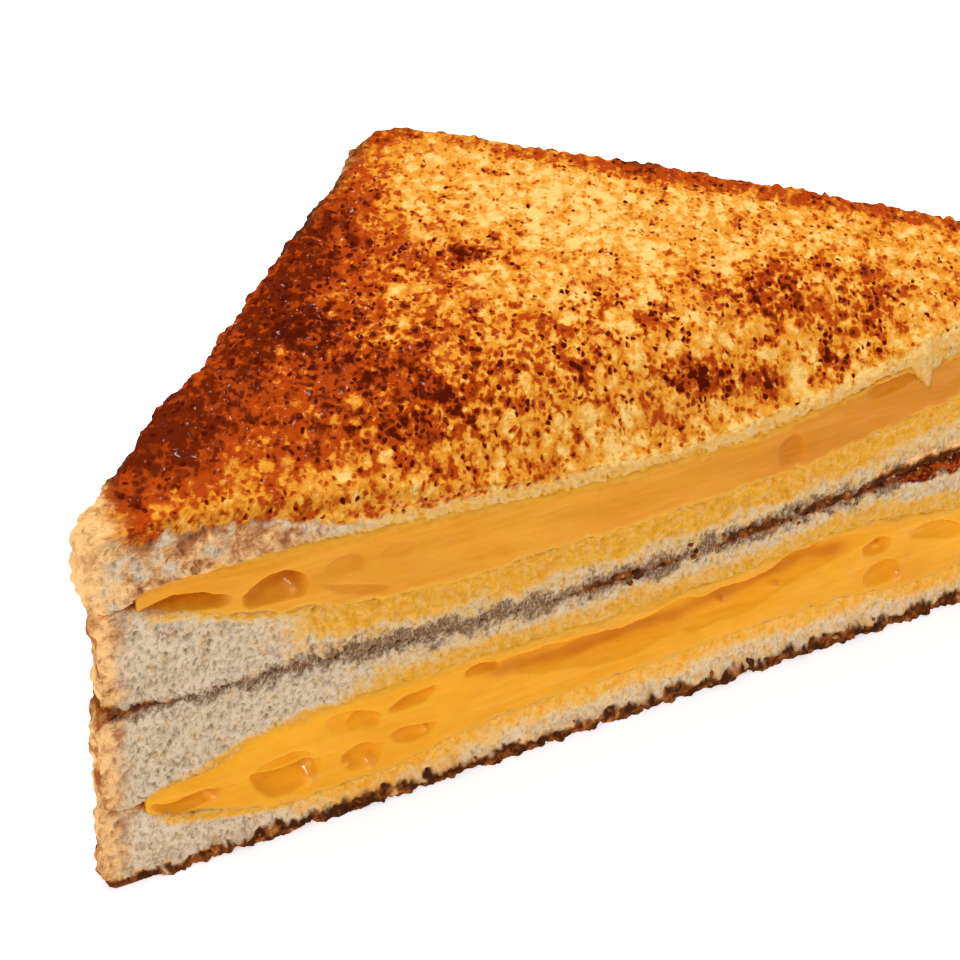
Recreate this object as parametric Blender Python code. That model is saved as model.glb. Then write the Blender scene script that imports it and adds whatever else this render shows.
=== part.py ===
"""A grilled cheese sandwich, cut corner to corner, with its two halves stacked.

Each half is two slices of square sandwich bread with a filling of melted cheese between them. The knife has
squashed the layers along the cut face, so they are thin in the middle of it and full at the crust.
Lengths are in metres. X runs along the cut face, Y from the cut face to the right-angled corner, Z up.
"""

import math

import bmesh
import bpy

MM = 0.001

# The bread and the cheese, seen from above.
SLICE_SIDE = 108 * MM
CORNER_RADIUS = 10.5 * MM
SMALLEST_RADIUS = 0.5 * MM
LEFT_LEG_BOW = -0.3 * MM
RIGHT_LEG_BOW = 1.2 * MM
CHEESE_INSET = 5 * MM
HALF_DIAGONAL = SLICE_SIDE / math.sqrt(2)
CUT_REACH = HALF_DIAGONAL - CORNER_RADIUS * (math.sqrt(2) - 1)
APEX_Y = CUT_REACH

# Heights at the crust, where the bread keeps its full thickness.
LOWER_CLOSING = 13.0 * MM
SEAM_AT_CRUST = 26.2 * MM
UPPER_CLOSING = 38.8 * MM
STACK_HEIGHT = 48.6 * MM

# Heights in the middle of the cut face, how much they rise from there to its two ends, and the power of
# that rise: the higher it is, the flatter the middle.
LOWER_FILLING_MIDDLE = 12.1 * MM
LOWER_FILLING_RISE = -1.8 * MM
LOWER_FILLING_POWER = 2.0
SEAM_MIDDLE = 22.7 * MM
SEAM_RISE = 4.2 * MM
SEAM_POWER = 1.8
UPPER_FILLING_MIDDLE = 34.7 * MM
UPPER_FILLING_RISE = 6.0 * MM
UPPER_FILLING_POWER = 1.6
TOP_MIDDLE = 40.0 * MM
TOP_RISE = 9.2 * MM
TOP_FLAT = 5 * MM
TOP_RISE_LENGTH = 52 * MM
LEAN_AT_END = 1.2 * MM

# Thickness of the cheese at the cut, inside the sandwich, and at its own edge.
LOWER_CHEESE_AT_CUT = 9.8 * MM
UPPER_CHEESE_AT_CUT = 7.8 * MM
CHEESE_INSIDE = 5.5 * MM
CHEESE_EDGE = 1.5 * MM
CHEESE_TAPER = 12 * MM
AIR_WEDGE = CHEESE_INSET / 2
CHEESE_BULGE = 0.5 * MM
CHEESE_ROUNDING = 0.9 * MM

# How far the squash reaches from the cut face and how it fades, and how far the closing reaches from the
# crust.
SQUASH_REACH = 9 * MM
SQUASH_POWER = 1.5
CLOSING_REACH = 9 * MM

# The gap between neighbours. Edges are rounded by these depths, and the power keeps the wall upright
# between them.
GAP = 0.3 * MM
CRUST_ROUNDING = 2.0 * MM
CUT_ROUNDING = 0.4 * MM
ROUNDING_POWER = 3
SHARP_ANGLE = math.radians(40)

# Steps round the outline, how much closer they are at the ends of a side (0 to 1), and steps up a wall.
CUT_STEPS = 24
LEG_STEPS = 10
END_ARC_STEPS = 4
APEX_ARC_STEPS = 6
END_CROWDING = 0.65
WALL_STEPS = 4

# The rings where cheese and bread meet, from the edge inwards: inset from the crust, inset from the cut face.
CHEESE_RINGS = ((CHEESE_INSET, CHEESE_ROUNDING), (7 * MM, 3 * MM), (10 * MM, 8 * MM), (15 * MM, 15 * MM))
FACE_CENTRE = (0.0, 26 * MM)

# How far each slice stands out past the nominal crust line, because no two slices lie quite in line.
SLICE_OVERHANG = {
    "lower_bottom_slice": 0.3 * MM,
    "lower_top_slice": 0.1 * MM,
    "upper_bottom_slice": -0.4 * MM,
    "upper_top_slice": 0.3 * MM,
}

# Each piece's colour and roughness.
FINISHES = {
    "lower_bottom_slice": ((0.60, 0.42, 0.22, 1), 0.85),
    "lower_cheese": ((0.86, 0.36, 0.03, 1), 0.25),
    "lower_top_slice": ((0.58, 0.43, 0.25, 1), 0.85),
    "upper_bottom_slice": ((0.58, 0.43, 0.25, 1), 0.85),
    "upper_cheese": ((0.88, 0.43, 0.10, 1), 0.3),
    "upper_top_slice": ((0.60, 0.25, 0.05, 1), 0.5),
}


def smooth(t):
    """0 below 0, 1 above 1, and an S curve between."""
    t = min(max(t, 0.0), 1.0)
    return t * t * (3 - 2 * t)


def mix(a, b, share):
    return a + (b - a) * share


def spread(t):
    """Turns even steps from 0 to 1 into steps that are closer together near both ends."""
    return t - END_CROWDING * math.sin(2 * math.pi * t) / (2 * math.pi)


def squash(y):
    """1 at the cut face, fading to 0 inside the sandwich."""
    return math.exp(-((max(y, 0.0) / SQUASH_REACH) ** SQUASH_POWER))


def from_crust(x, y):
    """Distance from the nearer crust."""
    return (HALF_DIAGONAL - abs(x) - y) / math.sqrt(2)


def along_cut(x):
    """0 in the middle of the cut face, 1 at its ends."""
    return min(abs(x) / CUT_REACH, 1.0)


def lean(x):
    """The layers of the cut face above the lower filling slope up a little from left to right."""
    return LEAN_AT_END * x / CUT_REACH


def top_height(x, y):
    rise = TOP_RISE * smooth((abs(x) - TOP_FLAT) / TOP_RISE_LENGTH)
    return mix(STACK_HEIGHT, min(TOP_MIDDLE + rise + lean(x), STACK_HEIGHT), squash(y))


def seam_height(x, y):
    """Where the two halves lie on each other."""
    at_cut = SEAM_MIDDLE + SEAM_RISE * along_cut(x) ** SEAM_POWER + lean(x)
    return mix(SEAM_AT_CRUST, at_cut, squash(y))


def filling_middle(half, x, y):
    """The middle height of a half's filling, which turns into the line where its two slices close."""
    if half == "lower":
        at_cut = LOWER_FILLING_MIDDLE + LOWER_FILLING_RISE * along_cut(x) ** LOWER_FILLING_POWER
        closing = LOWER_CLOSING
    else:
        at_cut = UPPER_FILLING_MIDDLE + UPPER_FILLING_RISE * along_cut(x) ** UPPER_FILLING_POWER + lean(x)
        closing = UPPER_CLOSING
    inside = mix(closing, at_cut, squash(y))
    return mix(closing, inside, smooth(from_crust(x, y) / CLOSING_REACH))


def filling_thickness(half, x, y):
    """Thickness of a half's filling: its cheese and, past that, a closing wedge of air."""
    at_cut = LOWER_CHEESE_AT_CUT if half == "lower" else UPPER_CHEESE_AT_CUT
    full = mix(CHEESE_INSIDE, at_cut, squash(y))
    from_cheese_edge = from_crust(x, y) - CHEESE_INSET
    if from_cheese_edge < 0:
        return CHEESE_EDGE * smooth(1 + from_cheese_edge / AIR_WEDGE)
    return mix(CHEESE_EDGE, full, smooth(from_cheese_edge / CHEESE_TAPER))


def filling_floor(half, x, y):
    return filling_middle(half, x, y) - filling_thickness(half, x, y) / 2


def filling_roof(half, x, y):
    return filling_middle(half, x, y) + filling_thickness(half, x, y) / 2


def arc(centre, radius, start_deg, end_deg, steps):
    """Points round an arc, without its last one."""
    points = []
    for i in range(steps):
        angle = math.radians(start_deg + (end_deg - start_deg) * i / steps)
        points.append((centre[0] + radius * math.cos(angle), centre[1] + radius * math.sin(angle)))
    return points


def leg(start, end, bow, steps):
    """Points along a crust that bows out in the middle, without the last one."""
    length = math.dist(start, end)
    out = ((end[1] - start[1]) / length, (start[0] - end[0]) / length)
    points = []
    for i in range(steps):
        t = spread(i / steps)
        push = bow * math.sin(math.pi * t)
        points.append((mix(start[0], end[0], t) + out[0] * push, mix(start[1], end[1], t) + out[1] * push))
    return points


def outline(crust_inset, cut_inset):
    """The half slice from above, anticlockwise from the left end of the cut face.

    It is half of a square with round corners. A cut inset shrinks it towards the right-angled corner.
    """
    radius = max(CORNER_RADIUS - crust_inset, SMALLEST_RADIUS)
    reach = HALF_DIAGONAL - crust_inset * math.sqrt(2)
    pivot = reach - radius * math.sqrt(2)
    end = pivot + radius
    slant = radius / math.sqrt(2)
    points = [(mix(-end, end, spread(i / CUT_STEPS)), 0.0) for i in range(CUT_STEPS)]
    points += arc((pivot, 0.0), radius, 0, 45, END_ARC_STEPS)
    points += leg((pivot + slant, slant), (slant, pivot + slant), RIGHT_LEG_BOW, LEG_STEPS)
    points += arc((0.0, pivot), radius, 45, 135, APEX_ARC_STEPS)
    points += leg((-slant, pivot + slant), (-pivot - slant, slant), LEFT_LEG_BOW, LEG_STEPS)
    points += arc((-pivot, 0.0), radius, 135, 180, END_ARC_STEPS)
    share = 1 - cut_inset / APEX_Y
    return [(x * share, APEX_Y + (y - APEX_Y) * share) for x, y in points]


def face_rings(insets, height):
    """The rings of a face on the surface height(x, y), from its edge inwards, and last its centre point."""
    rings = [[(x, y, height(x, y)) for x, y in outline(*inset)] for inset in insets]
    x, y = FACE_CENTRE
    return rings + [[(x, y, height(x, y))]]


def wall_rings(low, high, crust_inset, cut_inset):
    """Rings between the rings low and high. Each inset is a function of the share of the height."""
    rings = []
    for step in range(1, WALL_STEPS):
        t = step / WALL_STEPS
        spots = outline(crust_inset(t), cut_inset(t))
        rings.append([(x, y, mix(a[2], b[2], t)) for (x, y), a, b in zip(spots, low, high)])
    return rings


def strip(bm, below, above, turned):
    """Triangles between two rings. Turned ones use the other diagonal."""
    count = len(below)
    for i in range(count):
        j = (i + 1) % count
        if turned:
            bm.faces.new((below[i], below[j], above[i]))
            bm.faces.new((below[j], above[j], above[i]))
        else:
            bm.faces.new((below[i], below[j], above[j]))
            bm.faces.new((below[i], above[j], above[i]))


def finish_of(name):
    made = bpy.data.materials.new(name)
    made.use_nodes = True
    shader = made.node_tree.nodes["Principled BSDF"]
    colour, roughness = FINISHES[name]
    shader.inputs["Base Color"].default_value = colour
    shader.inputs["Roughness"].default_value = roughness
    shader.inputs["Metallic"].default_value = 0.0
    return made


def closed_solid(name, under, wall, over):
    """One object from its rings: its underside from the centre out, its wall, and its top in to the centre.

    The two faces that meet across a gap are cut into the same triangles, so that the gap keeps its width.
    """
    bm = bmesh.new()
    loops = [[bm.verts.new(point) for point in ring] for ring in under[1:] + wall + over[:-1]]
    for k, (below, above) in enumerate(zip(loops, loops[1:])):
        strip(bm, below, above, turned=k + 2 >= len(under) + len(wall))
    floor = bm.verts.new(under[0][0])
    roof = bm.verts.new(over[-1][0])
    count = len(loops[0])
    for i in range(count):
        j = (i + 1) % count
        bm.faces.new((floor, loops[0][j], loops[0][i]))
        bm.faces.new((roof, loops[-1][i], loops[-1][j]))
    bmesh.ops.recalc_face_normals(bm, faces=bm.faces)
    mesh = bpy.data.meshes.new(name)
    bm.to_mesh(mesh)
    bm.free()
    mesh.shade_smooth()
    mesh.set_sharp_from_angle(angle=SHARP_ANGLE)
    mesh.materials.append(finish_of(name))
    bpy.context.scene.collection.objects.link(bpy.data.objects.new(name, mesh))


def slice_of_bread(name, floor, roof):
    """A slice between two surfaces, with a crust that is rounded top and bottom."""
    overhang = SLICE_OVERHANG[name]
    insets = ((CRUST_ROUNDING - overhang, CUT_ROUNDING),) + CHEESE_RINGS
    under = face_rings(insets, floor)[::-1]
    over = face_rings(insets, roof)
    wall = wall_rings(
        under[-1],
        over[0],
        lambda t: CRUST_ROUNDING * abs(2 * t - 1) ** ROUNDING_POWER - overhang,
        lambda t: CUT_ROUNDING * abs(2 * t - 1) ** ROUNDING_POWER,
    )
    closed_solid(name, under, wall, over)


def cheese(name, half):
    """A half's filling, whose wall bulges a little at the cut face."""

    def floor(x, y):
        return filling_floor(half, x, y)

    def roof(x, y):
        return filling_roof(half, x, y)

    under = face_rings(CHEESE_RINGS, floor)[::-1]
    over = face_rings(CHEESE_RINGS, roof)
    wall = wall_rings(
        under[-1],
        over[0],
        lambda t: CHEESE_INSET + CHEESE_BULGE * math.sin(math.pi * t),
        lambda t: mix(CHEESE_ROUNDING, -CHEESE_BULGE, math.sin(math.pi * t)),
    )
    closed_solid(name, under, wall, over)


def centre_on_origin():
    """Puts the middle of the sandwich's footprint over the origin."""
    meshes = [made.data for made in bpy.data.objects]
    corners = [vert.co for mesh in meshes for vert in mesh.vertices]
    middle = [(min(c[k] for c in corners) + max(c[k] for c in corners)) / 2 for k in (0, 1)]
    for mesh in meshes:
        for vert in mesh.vertices:
            vert.co.x -= middle[0]
            vert.co.y -= middle[1]


def lower_half():
    slice_of_bread(
        "lower_bottom_slice",
        lambda x, y: 0.0,
        lambda x, y: filling_floor("lower", x, y) - GAP,
    )
    cheese("lower_cheese", "lower")
    slice_of_bread(
        "lower_top_slice",
        lambda x, y: filling_roof("lower", x, y) + GAP,
        lambda x, y: seam_height(x, y) - GAP / 2,
    )


def upper_half():
    slice_of_bread(
        "upper_bottom_slice",
        lambda x, y: seam_height(x, y) + GAP / 2,
        lambda x, y: filling_floor("upper", x, y) - GAP,
    )
    cheese("upper_cheese", "upper")
    slice_of_bread(
        "upper_top_slice",
        lambda x, y: filling_roof("upper", x, y) + GAP,
        top_height,
    )


def build():
    for old in list(bpy.data.objects):
        bpy.data.objects.remove(old, do_unlink=True)
    lower_half()
    upper_half()
    centre_on_origin()


build()
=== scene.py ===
"""A grilled cheese sandwich, cut corner to corner, with its two halves stacked.

It is laid out as a Blender add-on and run as a script. Each slice of bread and each filling of cheese is
built as one closed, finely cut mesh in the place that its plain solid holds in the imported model. Shapes are
worked out in millimetres, in the model's own frame, with Y measured from the cut face.
"""

import itertools
import math
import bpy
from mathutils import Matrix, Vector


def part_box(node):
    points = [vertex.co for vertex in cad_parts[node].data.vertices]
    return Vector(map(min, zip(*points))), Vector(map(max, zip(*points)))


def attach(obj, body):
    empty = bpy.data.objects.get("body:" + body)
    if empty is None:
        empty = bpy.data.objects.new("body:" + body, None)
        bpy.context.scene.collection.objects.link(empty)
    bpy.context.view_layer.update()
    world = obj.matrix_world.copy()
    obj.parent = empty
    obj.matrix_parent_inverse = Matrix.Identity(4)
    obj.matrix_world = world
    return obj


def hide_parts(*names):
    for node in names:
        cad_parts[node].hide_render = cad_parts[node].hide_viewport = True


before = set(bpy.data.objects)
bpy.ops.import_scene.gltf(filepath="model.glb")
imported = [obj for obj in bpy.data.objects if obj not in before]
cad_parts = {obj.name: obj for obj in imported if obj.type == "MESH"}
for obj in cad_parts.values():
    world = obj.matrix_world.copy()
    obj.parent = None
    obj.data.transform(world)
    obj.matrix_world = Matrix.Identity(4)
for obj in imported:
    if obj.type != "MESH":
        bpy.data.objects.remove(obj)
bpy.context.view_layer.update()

from types import SimpleNamespace

import bpy
import numpy as np
from bpy.props import FloatProperty, FloatVectorProperty, IntProperty, PointerProperty
from mathutils import Matrix, Vector
from mathutils.geometry import delaunay_2d_cdt

bl_info = {
    "name": "Grilled Cheese Sandwich",
    "version": (1, 0, 0),
    "blender": (4, 5, 0),
    "location": "View3D > Sidebar > Sandwich",
    "description": "Bread, cheese, crumbs and a studio for a toasted sandwich in two stacked halves",
    "category": "Add Mesh",
}

MM = 0.001
ROOT2 = math.sqrt(2)


# ---------------------------------------------------------------------------------------------------------
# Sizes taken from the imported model, in millimetres
# ---------------------------------------------------------------------------------------------------------


def node_box(name):
    """A solid's lowest and highest corners."""
    low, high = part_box(name)
    return np.array(low) / MM, np.array(high) / MM


# How far each slice stands out past the nominal crust line, because no two slices lie quite in line.
SLICE_OVERHANG = {
    "lower_bottom_slice": 0.3,
    "lower_top_slice": 0.1,
    "upper_bottom_slice": -0.4,
    "upper_top_slice": 0.3,
}

TOP_LOW, TOP_HIGH = node_box("upper_top_slice")
CUT_Y = TOP_LOW[1]
STACK_HEIGHT = TOP_HIGH[2]
CUT_REACH = TOP_HIGH[0] - SLICE_OVERHANG["upper_top_slice"]
CORNER_RADIUS = 10.5
HALF_DIAGONAL = CUT_REACH + CORNER_RADIUS * (ROOT2 - 1)
LEG_LENGTH = (HALF_DIAGONAL - CORNER_RADIUS * ROOT2) * ROOT2
# How far the filling ends from the crust, and how far each leg bows out.
CHEESE_INSET = 5.0
LEFT_LEG_BOW = -0.3
RIGHT_LEG_BOW = 1.2

# Heights at the crust, where the bread keeps its full thickness.
LOWER_CLOSING = 13.0
SEAM_AT_CRUST = 26.2
UPPER_CLOSING = 38.8

# How far the squash of the knife reaches in and how steeply it ends. Then the thickness of the filling
# inside the sandwich and at its own edge, and how far in from that edge it reaches its full thickness.
SQUASH_REACH = 9.0
SQUASH_POWER = 1.5
CHEESE_INSIDE = 5.5
CHEESE_EDGE = 1.5
CHEESE_TAPER = 12.0

# Heights of the layers along the cut face, from the bottom up: place along the cut, height.
LOWER_FLOOR = (
    (-72, 12.4), (-68.5, 11.0), (-65.5, 9.0), (-60, 7.4), (-55, 6.0), (-50, 4.8), (-45, 4.6),
    (-38, 4.7), (-30, 5.9), (-20, 7.0), (0, 7.4), (25, 7.9), (50, 6.6), (60, 8.2), (66, 9.9),
    (69, 11.2), (72, 12.2),
)
LOWER_ROOF = (
    (-72, 12.4), (-68.5, 11.6), (-65.5, 12.6), (-60, 13.3), (-57, 14.0), (-54, 15.9), (-50, 16.4),
    (-40, 17.1), (-25, 17.3), (-10, 17.0), (0, 17.2), (12, 17.3), (20, 18.3), (28, 19.0), (34, 18.6),
    (42, 17.5), (50, 16.3), (60, 14.2), (66, 12.4), (69, 11.9), (72, 12.4),
)
SEAM = (
    (-72, 26.0), (-60, 25.1), (-45, 24.5), (-30, 23.1), (-10, 22.5), (10, 23.4), (30, 24.6), (50, 26.0),
    (72, 27.9),
)
UPPER_FLOOR = (
    (-72, 39.6), (-68.5, 39.3), (-66, 38.1), (-60, 36.3), (-55, 34.3), (-50, 33.3), (-40, 31.2),
    (-28, 30.4), (-10, 30.6), (10, 31.2), (20, 32.1), (30, 33.5), (40, 35.5), (60, 38.0), (67, 39.0),
    (72, 40.2),
)
UPPER_ROOF = (
    (-72, 39.4), (-68.5, 39.4), (-66, 40.7), (-60, 41.2), (-50, 41.3), (-40, 40.4), (-30, 39.6),
    (-20, 38.7), (0, 37.9), (10, 38.1), (20, 39.4), (30, 41.2), (45, 42.6), (60, 42.8), (67, 40.4),
    (72, 40.4),
)
TOP = (
    (-72, 48.6), (-60, 48.5), (-50, 47.5), (-40, 45.7), (-30, 43.3), (-20, 41.6), (-10, 40.6),
    (0, 40.1), (10, 40.6), (20, 41.9), (30, 43.8), (40, 46.6), (52, 48.4), (72, 48.6),
)


# ---------------------------------------------------------------------------------------------------------
# What a user would change
# ---------------------------------------------------------------------------------------------------------


def tint(name, description, red, green, blue):
    """A colour property, given as the linear red, green and blue that a shader takes."""
    shown = dict(name=name, description=description, subtype="COLOR")
    return FloatVectorProperty(default=(red, green, blue, 1.0), size=4, min=0.0, max=1.0, **shown)


def length(name, description, millimetres):
    """A length property, given in millimetres and kept in metres."""
    shown = dict(name=name, description=description, unit="LENGTH")
    return FloatProperty(default=millimetres * MM, min=0.0, **shown)


class SandwichSizes(bpy.types.PropertyGroup):
    """Depths and mesh steps of the sandwich's surfaces."""

    cut_step: length("Cut Step", "Width of a mesh cell along the cut face", 0.23)
    crust_step: length("Crust Step", "Width of a mesh cell along the crust", 0.42)
    toast_step: length("Toast Step", "Width of a mesh cell on the toasted top", 0.37)
    hidden_step: length("Hidden Step", "Width of a mesh cell on a face that lies inside", 3.0)
    pore_depth: length("Pore Depth", "Depth of the pores in the cut crumb", 0.45)
    crust_bumps: length("Crust Bumps", "Height of the bumps on the crust", 0.75)
    toast_bumps: length("Toast Bumps", "Height of the grain on the toasted faces", 0.32)
    cheese_bulge: length("Cheese Bulge", "How far the cheese swells out of the cut face", 0.35)
    crumb_size: length("Crumb Size", "Width of a loose crumb", 0.8)
    crumb_count: IntProperty(name="Crumb Count", description="Number of loose crumbs", default=260, min=0)


class SandwichColours(bpy.types.PropertyGroup):
    """Colours of the bread, the cheese and the studio floor."""

    crumb: tint("Crumb", "Inside of the bread at the cut", 0.72, 0.56, 0.38)
    crumb_shade: tint("Crumb Shade", "Pores of the crumb", 0.36, 0.23, 0.13)
    pressed_crumb: tint("Pressed Crumb", "Crumb that is pressed dark along the seam", 0.17, 0.085, 0.042)
    soaked_crumb: tint("Soaked Crumb", "Crumb that melted cheese has soaked", 0.80, 0.385, 0.04)
    buttery_crumb: tint("Buttery Crumb", "Crumb with a little butter and cheese in it", 0.77, 0.48, 0.18)
    soaked_shade: tint("Soaked Shade", "Crumb where it is soaked through", 0.74, 0.32, 0.02)
    crust_tan: tint("Crust Tan", "Pale crust", 0.95, 0.55, 0.22)
    crust_brown: tint("Crust Brown", "Brown crust", 0.36, 0.10, 0.018)
    crust_dark: tint("Crust Dark", "Darkest crust", 0.078, 0.024, 0.008)
    toast_pale: tint("Toast Pale", "Toasted face where it is palest", 0.92, 0.58, 0.17)
    toast_golden: tint("Toast Golden", "Toasted face where it is golden", 0.80, 0.31, 0.026)
    toast_brown: tint("Toast Brown", "Toasted face where it is brown", 0.46, 0.060, 0.005)
    toast_burnt: tint("Toast Burnt", "Toasted face where it is burnt", 0.085, 0.0065, 0.0018)
    upper_cheese: tint("Upper Cheese", "Cheese of the upper half", 0.80, 0.33, 0.012)
    lower_cheese: tint("Lower Cheese", "Cheese of the lower half", 0.93, 0.40, 0.012)
    upper_streak: tint("Upper Streak", "Paler streaks in the upper cheese", 0.80, 0.38, 0.045)
    lower_streak: tint("Lower Streak", "Brighter streaks in the lower cheese", 0.93, 0.44, 0.03)
    # Painted shade: the two hollow colours darken the cheese inside its hollows. Deep Cheese is both the
    # cheese's own warmer tone and painted shade under the lips of the hollows.
    upper_hollow: tint("Upper Hollow", "Inside of the hollows of the upper cheese", 0.58, 0.15, 0.0004)
    lower_hollow: tint("Lower Hollow", "Inside of the hollows of the lower cheese", 0.93, 0.36, 0.005)
    deep_cheese_and_lip_shade: tint("Deep Cheese", "Cheese under the lip of its hollows", 0.50, 0.11, 0.0005)
    floor: tint("Floor", "Studio floor", 0.82, 0.84, 0.87)


# ---------------------------------------------------------------------------------------------------------
# Numbers that vary smoothly, and noise that is the same on every run
# ---------------------------------------------------------------------------------------------------------


def smooth(t):
    """0 below 0, 1 above 1, and an S curve between."""
    t = np.clip(t, 0.0, 1.0)
    return t * t * (3 - 2 * t)


def bell(t, u=0.0):
    """1 where t and u are 0, fading on every side."""
    return np.exp(-(t**2 + u**2))


def mix(a, b, share):
    """a where share is 0, b where it is 1."""
    return a + (b - a) * share


def through(knots, x):
    """A smooth curve through knots, which are pairs of place and height."""
    places, heights = np.array(knots, float).T
    slopes = np.gradient(heights, places)
    x = np.clip(x, places[0], places[-1])
    i = np.clip(np.searchsorted(places, x) - 1, 0, len(places) - 2)
    span = places[i + 1] - places[i]
    t = (x - places[i]) / span
    start = heights[i] * (1 + 2 * t) + slopes[i] * span * t
    finish = heights[i + 1] * (3 - 2 * t) - slopes[i + 1] * span * (1 - t)
    return start * (1 - t) ** 2 + finish * t**2


def scramble(cell, seed):
    """A 32-bit number for each whole-numbered place, the same for the same place."""
    h = cell[:, 0] * 73856093 ^ cell[:, 1] * 19349663 ^ cell[:, 2] * 83492791 ^ (seed * 40503 + 977)
    h &= 0xFFFFFFFF
    for shift, factor in ((16, 0x45D9F3B), (15, 0x2C1B3C6D)):
        h = ((h >> shift) ^ h) * factor & 0xFFFFFFFF
    return (h >> 16) ^ h


def shares_of(bits):
    """Three numbers from 0 to 1 out of each 32-bit number."""
    return np.stack([(bits >> shift & 1023) / 1023.0 for shift in (0, 10, 20)], axis=1)


def noise(p, size, seed):
    """Smooth noise, mostly from -1 to 1, with bumps about size across. The size may differ by direction."""
    q = p / size
    cell = np.floor(q).astype(np.int64)
    inner = q - cell
    ease = inner**3 * (inner * (inner * 6 - 15) + 10)
    total = np.zeros(len(p))
    for corner in np.ndindex(2, 2, 2):
        slope = shares_of(scramble(cell + corner, seed)) * 2 - 1
        weight = np.prod(np.where(corner, ease, 1 - ease), axis=1)
        total += weight * ((inner - corner) * slope).sum(1)
    return total * 1.6


def layered(p, size, seed):
    """Noise with two finer noises on it."""
    return sum(noise(p, size / 2**k, seed + k) * 0.5**k for k in range(3))


def cells(p, size, seed):
    """The distance to the nearest of one random spot a cell, in cells, and a random number of that spot."""
    q = p / size
    cell = np.floor(q).astype(np.int64)
    inner = q - cell
    nearest = np.full(len(p), 9.0)
    own = np.zeros(len(p))
    for step in np.ndindex(3, 3, 3):
        step = np.array(step) - 1
        bits = scramble(cell + step, seed)
        gap = ((inner - step - shares_of(bits)) ** 2).sum(1)
        closer = gap < nearest
        nearest[closer] = gap[closer]
        own[closer] = (bits[closer] * 31 >> 9 & 1023) / 1023.0
    return np.sqrt(nearest), own


# ---------------------------------------------------------------------------------------------------------
# The sandwich's layers as surfaces. X is along the cut, Y is 0 at the cut face.
# ---------------------------------------------------------------------------------------------------------


def squash(y):
    """1 at the cut face, fading to 0 inside the sandwich."""
    return np.exp(-((np.maximum(y, 0.0) / SQUASH_REACH) ** SQUASH_POWER))


def from_crust(x, y):
    """Distance from the nearer crust."""
    return (HALF_DIAGONAL - np.abs(x) - y) / ROOT2


def crust_distance(x, y):
    """Distance from the crust, round the corners too."""
    pivot = HALF_DIAGONAL - CORNER_RADIUS * ROOT2
    near = from_crust(x, y)
    at_end = np.abs(x) - pivot > np.maximum(y, 0.0)
    near = np.where(at_end, CORNER_RADIUS - np.hypot(np.abs(x) - pivot, np.maximum(y, 0.0)), near)
    return np.where(y - pivot > np.abs(x), CORNER_RADIUS - np.hypot(x, y - pivot), near)


def inside_thickness(x, y):
    """Thickness of the filling away from the cut, thinner towards the crust."""
    from_edge = from_crust(x, y) - CHEESE_INSET
    closing = CHEESE_EDGE * smooth(1 + from_edge / CHEESE_INSET * 2)
    filled = mix(CHEESE_EDGE, CHEESE_INSIDE, smooth(from_edge / CHEESE_TAPER))
    return np.where(from_edge < 0, closing, filled)


def layer(at_cut, inside, side):
    """A surface from its heights along the cut and inside. Side is -1 under a filling and 1 over it."""

    def height(x, y):
        return mix(inside + side * inside_thickness(x, y) / 2, through(at_cut, x), squash(y))

    return height


lower_floor = layer(LOWER_FLOOR, LOWER_CLOSING, -1)
lower_roof = layer(LOWER_ROOF, LOWER_CLOSING, 1)
seam = layer(SEAM, SEAM_AT_CRUST, 0)
upper_floor = layer(UPPER_FLOOR, UPPER_CLOSING, -1)
upper_roof = layer(UPPER_ROOF, UPPER_CLOSING, 1)
top = layer(TOP, STACK_HEIGHT, 0)


def ground(x, y):
    """The surface that the sandwich stands on."""
    return np.zeros_like(x)


# ---------------------------------------------------------------------------------------------------------
# Closed shells: a wall round the outline, and a face over and under it
# ---------------------------------------------------------------------------------------------------------

CUT_SIDE, RIGHT_END, RIGHT_LEG, APEX, LEFT_LEG, LEFT_END = range(6)
SIDE_LENGTHS = (
    2 * CUT_REACH,
    math.pi / 4 * CORNER_RADIUS,
    LEG_LENGTH,
    math.pi / 2 * CORNER_RADIUS,
    LEG_LENGTH,
    math.pi / 4 * CORNER_RADIUS,
)
# How rounded the edges of the cut are, how far in the shifts of the cut face fade, and the least radius of a
# corner. The last one is farther than any part of the sandwich.
CUT_EDGE = 0.12
CUT_SHIFT_REACH = 3.0
SMALLEST_RADIUS = 0.5
FAR = 99.0


def stations(cut_step, crust_step):
    """Stations round the outline, anticlockwise from the left end of the cut: side, and share along it."""
    sides, shares = [], []
    for side, side_length in enumerate(SIDE_LENGTHS):
        count = max(round(side_length / (cut_step if side == CUT_SIDE else crust_step)), 2)
        sides += [side] * count
        shares += [i / count for i in range(count)]
    return np.array(sides), np.array(shares)


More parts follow.
